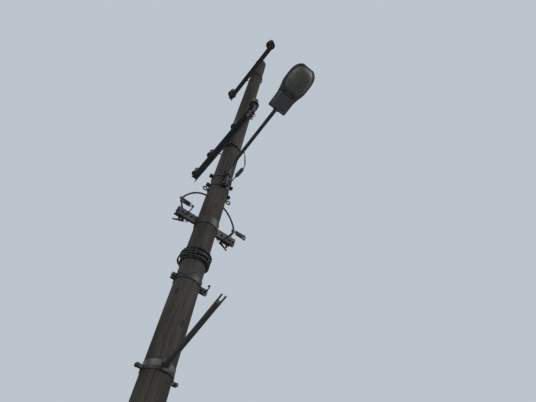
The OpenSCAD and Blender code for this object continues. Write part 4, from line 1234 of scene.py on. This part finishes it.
threads = Trail()
for start, way, length, rod in threadRuns(boltShape):
    start = Vector(start)
    threads.add([start, start + Vector(way) * length], rod / 2 - boltShape["sink"])
threads.piece("boltThreads", "thread", boltShape["pitch"], "zinc", sharp=50)

strutShape = {
    "z": 3.0534, "pipe": 0.044, "tilt": 21, "length": 0.650, "plate": 0.008, "plateWidth": 0.070,
    "clampHigh": 0.026, "bead": 0.0032, "beadStep": 0.0034, "uneven": 0.16, "prong": 0.011, "steps": 40,
}


def addWelds(s, arm):
    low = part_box("lower_clamp_front")[0]
    ring = seated(low.z)
    face = ring + kit["plate"] / 2 + s["plate"]
    tilt = math.radians(s["tilt"])
    half = s["pipe"] / 2
    welds = Trail()
    foot = [(face + 0.001, half * math.cos(a), s["z"] + half / math.cos(tilt) * math.sin(a))
            for a in turnsOf(s["steps"])]
    welds.add(foot, s["bead"], closed=True)
    for side in (-1, 1):
        y = side * s["plateWidth"] / 2
        x = math.sqrt((ring + kit["plate"]) ** 2 - y * y)
        welds.add([(x, y, low.z + 0.002), (x, y, low.z + s["clampHigh"] - 0.002)], s["bead"])
    welds.piece("strutWelds", "bead", s["beadStep"], "arm_steel", s["uneven"], 5, 60)
    atFork = shift(face, 0, s["z"]) @ turned("Y", 90 - s["tilt"]) @ shift(0, 0, s["length"] + 0.008)
    fork = Trail()
    prong = s["prong"]
    for side in (-1, 1):
        y = side * (s["pipe"] - prong) / 2
        inner = y - side * prong / 2
        ends = (-prong / 2, prong / 2)
        lines = [[(x, inner, 0.0004) for x in ends]]
        lines += [[(x, y + d, 0.0004) for d in (-prong * 0.45, prong * 0.30)] for x in ends]
        for line in lines:
            fork.add(moved(atFork, line), s["bead"] * 0.7)
    fork.add(moved(atFork, level(-0.008, half - 0.0005, s["steps"])), s["bead"] * 0.75, closed=True)
    joint = (shift(arm["pipeX"] + arm["bendRadius"], 0, arm["bendZ"]) @ turned("Y", -arm["armTilt"])
             @ shift(0, 0, arm["bendRadius"]) @ turned("Y", 90))
    fork.add(moved(joint, level(0, 0.0212, s["steps"])), s["bead"] * 0.9, closed=True)
    fork.piece("zincWelds", "bead", s["beadStep"] * 0.85, "zinc", s["uneven"], 7, 60)


addWelds(strutShape, lampShape)


archShape = {
    "radius": 0.010, "x": -0.036,
    # distance behind the clamps' bores, side place beside a clamp, height above the bracket
    "points": ((0, 0, -0.070), (0, 0, -0.030), (0, 0, 0.030), (0.001, 0.006, 0.082), (0.008, 0.030, 0.150),
               (0.020, 0.046, 0.215), (0.031, 0.034, 0.290), (0.043, -0.008, 0.380), (0.059, -0.070, 0.470),
               (0.079, -0.150, 0.545), (0.104, -0.225, 0.590), (0.111, -0.278, 0.604)),
    "bootLow": 0.030, "bootHigh": 0.062, "bootGrow": 0.0016,
    "tieStep": 0.19, "freeEnd": 26,   # points of the path at either end that carry no tie
    "bandHigh": 0.018, "bandSheet": 0.0009, "bandOpen": 17, "bandSteps": 72,
}


def addArch(s):
    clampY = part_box("cable_clamps")[1].y - 0.023
    sides = [[(s["x"] - x, side * (clampY + y), kit["bracketZ"] + z) for x, y, z in s["points"]]
             for side in (-1, 1)]
    path = smoothPath(sides[0] + sides[1][::-1], 8)
    build = Build()
    build.tube(path, s["radius"], 18, roundEnds=True)
    build.piece("cableArch", "cable_sheath", ["cable_arch"], 50)
    print("cable arch, metres:", round(pathLength(path), 2))
    boots = Build()
    r = s["radius"]
    wide = r + s["bootGrow"]
    tall = s["bootHigh"] - s["bootLow"]
    profile = [(0, 0), (r, 0), (wide, 0.0015), (wide, tall - 0.003), (r + 0.0004, tall), (0, tall)]
    for side in (-1, 1):                # shrink boots where the cable enters the clamps
        for z in (-s["bootHigh"], s["bootLow"] + 0.0005):
            boots.lathe(profile, 24, shift(s["x"], side * clampY, kit["bracketZ"] + z))
    boots.piece("cableBoots", "fuse_plastic")
    return path


def addArchBand(s, path):
    # thin steel band that ties the top of the arch to the pole, over a rubber pad
    z = path[len(path) // 2].z
    back = -path[len(path) // 2].x
    r = poleRadius(z) + 0.0004
    left = math.radians(s["bandOpen"])  # half of the band's opening, where it goes round the cable
    line = []
    for i in range(s["bandSteps"] + 1):
        a = math.pi + left + (math.tau - 2 * left) * i / s["bandSteps"]
        line.append((r * math.cos(a), r * math.sin(a)))
    line += [(-back - (s["radius"] + 0.0010) * math.cos(a), (s["radius"] + 0.0016) * math.sin(a))
             for a in [math.radians(d) for d in range(75, -76, -15)]]
    high = s["bandHigh"]
    low, top = z - high / 2, z + high / 2
    rings = []
    for i, (x, y) in enumerate(line):
        across = (Vector(line[(i + 1) % len(line)]) - Vector(line[i - 1])).normalized() * s["bandSheet"]
        outX, outY = x + across.y, y - across.x
        rings.append([(x, y, low), (outX, outY, low), (outX, outY, top), (x, y, top)])
    build = Build()
    build.rings(rings, closed=True)
    build.block((0.004, 0.024, high + 0.006), shift(r + 0.0035, 0, z), 0.0012)
    build.piece("archBand", "zinc")
    pad = Build()
    pad.block((back - s["radius"] - r + 0.003, 0.020, high + 0.010),
              shift(-(back - s["radius"] + r) / 2, 0, z), 0.002)
    pad.piece("archPad", "fuse_plastic")


archPath = addArch(archShape)
addArchBand(archShape, archPath)

wrapShape = {
    "middle": 4.160, "pitch": 0.022, "turns": 7, "radius": 0.008, "steps": 60, "seed": 5,
    # waves that keep the turns from lying even: how often round, and their least and most height
    "start": -2.2, "waves": (1.3, 2.1, 3.7, 5.2), "slack": (0.0004, 0.0013),
    "outerSize": 0.94,                # thickness of the loose loops beside that of the turns
    # loops over the first turns: height, tilt, degrees where they bulge, bulge, length in degrees
    "outer": ((4.108, 0.012, -122, 0.017, 360), (4.130, -0.014, -112, 0.013, 360),
              (4.172, 0.020, -128, 0.008, 300), (4.207, -0.012, 60, 0.004, 250)),
    "lashings": (-148, -88, -26, 31, 86, 146), "lashWire": 0.0016,
}


def outline(points):
    # convex outline of flat points, from the innermost one along the low side and back along the high side
    points = sorted(set(points))
    line = []
    for run in (points, points[::-1]):
        side = []
        for p in run:
            while len(side) > 1:
                a, b = side[-2:]
                if (b[0] - a[0]) * (p[1] - a[1]) - (b[1] - a[1]) * (p[0] - a[0]) > 0:
                    break
                side.pop()
            side.append(p)
        line += side[:-1]
    return line


def addLashings(s, strands):
    # a doubled wire over the whole bundle, pulled tight from strand to strand
    ties = Build()
    wire = s["lashWire"]
    for degrees in s["lashings"]:
        aim = math.radians(degrees)
        across = Vector((-math.sin(aim), math.cos(aim), 0))
        out = Vector((math.cos(aim), math.sin(aim), 0))
        skin = []
        for path, radius in strands:
            far = radius + wire
            for a, b in zip(path, path[1:]):
                before, after = a.dot(across), b.dot(across)
                if before * after <= 0 and a.dot(out) > 0:
                    here = a.lerp(b, before / (before - after + 1e-12))
                    skin += [(here.dot(out) + far * math.cos(t), here.z + far * math.sin(t))
                             for t in turnsOf(16)]
        line = [(r, z) for r, z in outline(skin) if r > poleRadius(z) + wire * 0.6]
        foot, top = [(poleRadius(z) - wire, z) for z in (line[0][1], line[-1][1])]
        line = [foot] + line + [top]
        for wide in (-1.05, 1.05):
            ties.tube([out * r + across * wide * wire + Vector((0, 0, z)) for r, z in line], wire, 8)
    ties.piece("wrapLashings", "arm_steel")


def wrapTurns(s):
    # the even turns, as one path
    rng = np.random.default_rng(s["seed"])
    waves = [(k, rng.uniform(0, math.tau), rng.uniform(*s["slack"])) for k in s["waves"]]
    total = s["turns"] * s["steps"]
    path = []
    for i in range(total + 1):
        a = math.tau * i / s["steps"] + s["start"]
        z = s["middle"] + (i / total - 0.5) * s["pitch"] * s["turns"] * 0.97
        z += sum(size * 1.4 * math.sin(k * a / 1.7 + phase) for k, phase, size in waves)
        loose = sum(size * (1 + math.sin(k * a + phase)) * 0.35 for k, phase, size in waves)
        r = poleRadius(z - s["radius"]) + 0.0006 + s["radius"] + loose
        path.append(Vector((r * math.cos(a), r * math.sin(a), z)))
    return path


def looseLoop(s, height, tilt, at, bulge, sweep):
    # one loop over the turns, lying in the groove between two of them
    at = math.radians(at)
    count = int(s["steps"] * sweep / 360)
    ring = []
    for i in range(count if sweep == 360 else count + 1):
        a = at + math.radians(180 + sweep * (i / count) + (360 - sweep) / 2)
        near = max(0.0, math.cos(a - at)) ** 3
        z = height + tilt * math.cos(a - at + 0.6) + 0.002 * math.sin(3 * a)
        lift = 0.93 * math.sqrt(3) * s["radius"] + 0.0012 * (1 + math.sin(4 * a + height * 90))
        r = poleRadius(z) + s["radius"] + lift + 0.0006 + bulge * near
        ring.append(Vector((r * math.cos(a), r * math.sin(a), z)))
    return ring


def addWrap(s):
    build = Build()
    strands = [(wrapTurns(s), s["radius"])]
    build.tube(strands[0][0], s["radius"], 12, roundEnds=True)
    thin = s["radius"] * s["outerSize"]
    for loop in s["outer"]:
        whole = loop[-1] == 360
        ring = looseLoop(s, *loop)
        build.tube(ring, thin, 12, closed=whole, roundEnds=not whole)
        strands.append((ring + ring[:1] if whole else ring, thin))
    build.piece("cableWrap", "cable_sheath", ["cable_wrap"], 50)
    print("cable wrap, metres:", round(sum(pathLength(strand[0]) for strand in strands), 2))
    addLashings(s, strands)


addWrap(wrapShape)

leadShape = {
    "wire": 0.0037, "lay": 0.40, "glandAt": 0.140, "glandLength": 0.016,
    "bow": 0.004, "bend": 0.019,      # bend: from the bend's corner to either end of it
    "straight": 0.014,                # of the lead under its gland
    "fuseTurn": 10, "fuseRise": 36, "rod": 0.132, "fuseLength": 0.142, "fuseRadius": 0.022,
    # ribs of the fuse's body: from and to, past the end of its rod
    "pipe": 0.021, "ribRuns": ((0.022, 0.058), (0.078, 0.106)), "ribStep": 0.0045,
    # radius, and share of the gland's length
    "gland": ((0.0084, 0.42), (0.0088, 0.5), (0.0088, 0.8), (0.0084, 0.97), (0.0078, 1)),
}


def leadPath(s, top, down, end, way):
    # from the gland down to the fuse; way is the fuse's direction, out of its end
    corner = end + (s["bend"] + 0.002) * way
    above = top + s["straight"] * down
    start = corner + s["bend"] * (above - corner).normalized()
    out = Vector((s["bow"], s["bow"] / 2, 0))
    into = end + 0.002 * way
    path = [top - 0.004 * down, top, above, above.lerp(start, 0.36) + out, above.lerp(start, 0.7) + out,
            start, (start + 2 * corner + into) / 4, into, end - 0.002 * way]
    return smoothPath(path, 9)


def addWires(build, s, path):
    # two insulated wires, laid together with a slow twist
    side = Vector((0, 1, 0))
    gone = -pathLength(path) / 2
    wires = ([], [])
    for i, point in enumerate(path):
        along = (path[min(i + 1, len(path) - 1)] - path[max(i - 1, 0)]).normalized()
        side = (side - along * side.dot(along)).normalized()
        gone += (point - path[i - 1]).length if i else 0
        spin = math.tau * gone / s["lay"]
        off = (side * math.cos(spin) + along.cross(side) * math.sin(spin)) * (s["wire"] + 0.0001)
        wires[0].append(point + off)
        wires[1].append(point - off)
    for wire in wires:
        build.tube(wire, s["wire"], 12)


def addLead(s, arm):
    tilt = math.radians(arm["armTilt"])
    pipe = Vector((arm["pipeX"] + arm["bendRadius"] * (1 - math.sin(tilt)), 0,
                   arm["bendZ"] + arm["bendRadius"] * math.cos(tilt)))
    pipe += s["glandAt"] * Vector((math.cos(tilt), 0, math.sin(tilt)))
    down = Vector((math.sin(tilt), 0, -math.cos(tilt)))
    top = pipe + (s["pipe"] + kit["seat"] + s["glandLength"]) * down
    low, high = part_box("lamp_band_lower")
    foot = Vector((arm["pipeX"], s["pipe"] + 2 * kit["plate"] + 0.004, (low.z + high.z) / 2))
    lift = math.radians(s["fuseRise"])
    turn = math.radians(s["fuseTurn"])
    way = Vector((math.cos(lift) * math.cos(turn), math.cos(lift) * math.sin(turn), math.sin(lift)))
    path = leadPath(s, top, down, foot + (s["rod"] + s["fuseLength"] + kit["seat"]) * way, way)
    print("lamp lead, metres:", round(pathLength(path), 2))
    build = Build()
    addWires(build, s, path)
    grip = s["glandLength"]
    profile = [(0, 0), (0.0092, 0), (0.0094, 0.001), (0.0094, grip * 0.35)]
    profile += [(r, grip * share) for r, share in s["gland"]] + [(0, grip)]
    atGland = Matrix.Translation(pipe) @ turned("Y", 180 - arm["armTilt"]) @ shift(0, 0, s["pipe"])
    build.lathe(profile, 6, atGland)
    build.piece("lampLead", "cable_sheath", ["lamp_lead"], 34)
    atFuse = Matrix.Translation(foot) @ turned("Z", s["fuseTurn"]) @ turned("Y", 90 - s["fuseRise"])
    grips = Trail()
    for run in s["ribRuns"]:
        grips.add(moved(atFuse, [(0, 0, s["rod"] + z) for z in run]), s["fuseRadius"] - 0.0006)
    grips.piece("fuseRibs", "thread", s["ribStep"], "fuse_plastic", sharp=50)


addLead(leadShape, lampShape)
ties = Trail()
ties.add(archPath[archShape["freeEnd"]:-archShape["freeEnd"]], archShape["radius"])
ties.piece("cableTies", "tie", archShape["tieStep"], "fuse_plastic")

studio = {
    "backdrop": rgb(0.50, 0.555, 0.61),
    "floor": rgb(0.52, 0.545, 0.57),
    "floorRadius": 45.0,
    "ambient": 0.42,
    "floorGlow": 0.72,                # share of the floor's own colour that the camera sees
    # name, place, aim, size and power of each lamp
    "lamps": (
        ("key", (9.0, 7.0, 12.0), (0.0, 0.0, 6.0), 6.0, 1600),
        ("fill", (7.0, -14.0, 6.0), (0.0, 0.0, 5.0), 7.0, 1400),
        ("rim", (-10.0, 2.0, 9.0), (0.0, 0.0, 6.0), 6.0, 800),
    ),
}


def seenRays(tree):
    # 1 where the camera looks, also in a mirror or through glass
    rays = tree.nodes.new("ShaderNodeLightPath").outputs
    seen = Sock(tree, rays["Is Camera Ray"])
    for name in ("Is Glossy Ray", "Is Transmission Ray"):
        seen = seen.peak(Sock(tree, rays[name]))
    return seen


def addWorld(look):
    world = bpy.data.worlds.new("studio")
    world.use_nodes = True
    tree = world.node_tree
    tree.nodes.clear()
    start = Sock(tree)
    light = start.node("ShaderNodeBackground", {}, {"Color": rgb(1, 1, 1), "Strength": look["ambient"]})
    shown = start.node("ShaderNodeBackground", {}, {"Color": look["backdrop"], "Strength": 1.0})
    both = start.node("ShaderNodeMixShader", {}, {0: seenRays(tree), 1: light, 2: shown})
    out = tree.nodes.new("ShaderNodeOutputWorld")
    tree.links.new(both.link, out.inputs["Surface"])
    bpy.context.scene.world = world


def addFloor(look):
    ring = level(-0.002, look["floorRadius"], 96)
    mesh = meshOf("floor", ring, [], [tuple(range(len(ring)))])
    made, shader, start, place = startMaterial("paleFloor", {"Roughness": 0.9, "Specular IOR Level": 0.0})
    feed(shader, "Base Color", place.noise(0.8, 3.0).tint(look["floor"], look["backdrop"]))
    glow = start.node("ShaderNodeEmission", {}, {"Color": look["backdrop"]})
    lit = Sock(start.tree, shader.outputs[0])
    shown = seenRays(start.tree) * look["floorGlow"]
    both = start.node("ShaderNodeMixShader", {}, {0: shown, 1: lit, 2: glow})
    start.tree.links.new(both.link, start.tree.nodes["Material Output"].inputs["Surface"])
    mesh.materials.append(made)
    linked("floor", mesh)


def addLamp(name, place, aim, size, power):
    data = bpy.data.lights.new(name, "AREA")
    data.shape = "DISK"
    data.size = size
    data.energy = power
    lamp = linked(name, data)
    lamp.location = place
    lamp.rotation_mode = "QUATERNION"
    lamp.rotation_quaternion = (Vector(aim) - Vector(place)).to_track_quat("-Z", "Y")


addCamera(cameraView)
addWorld(studio)
addFloor(studio)
for lamp in studio["lamps"]:
    addLamp(*lamp)
bpy.context.scene.view_settings.view_transform = "Standard"
print("camera, floor and light set")
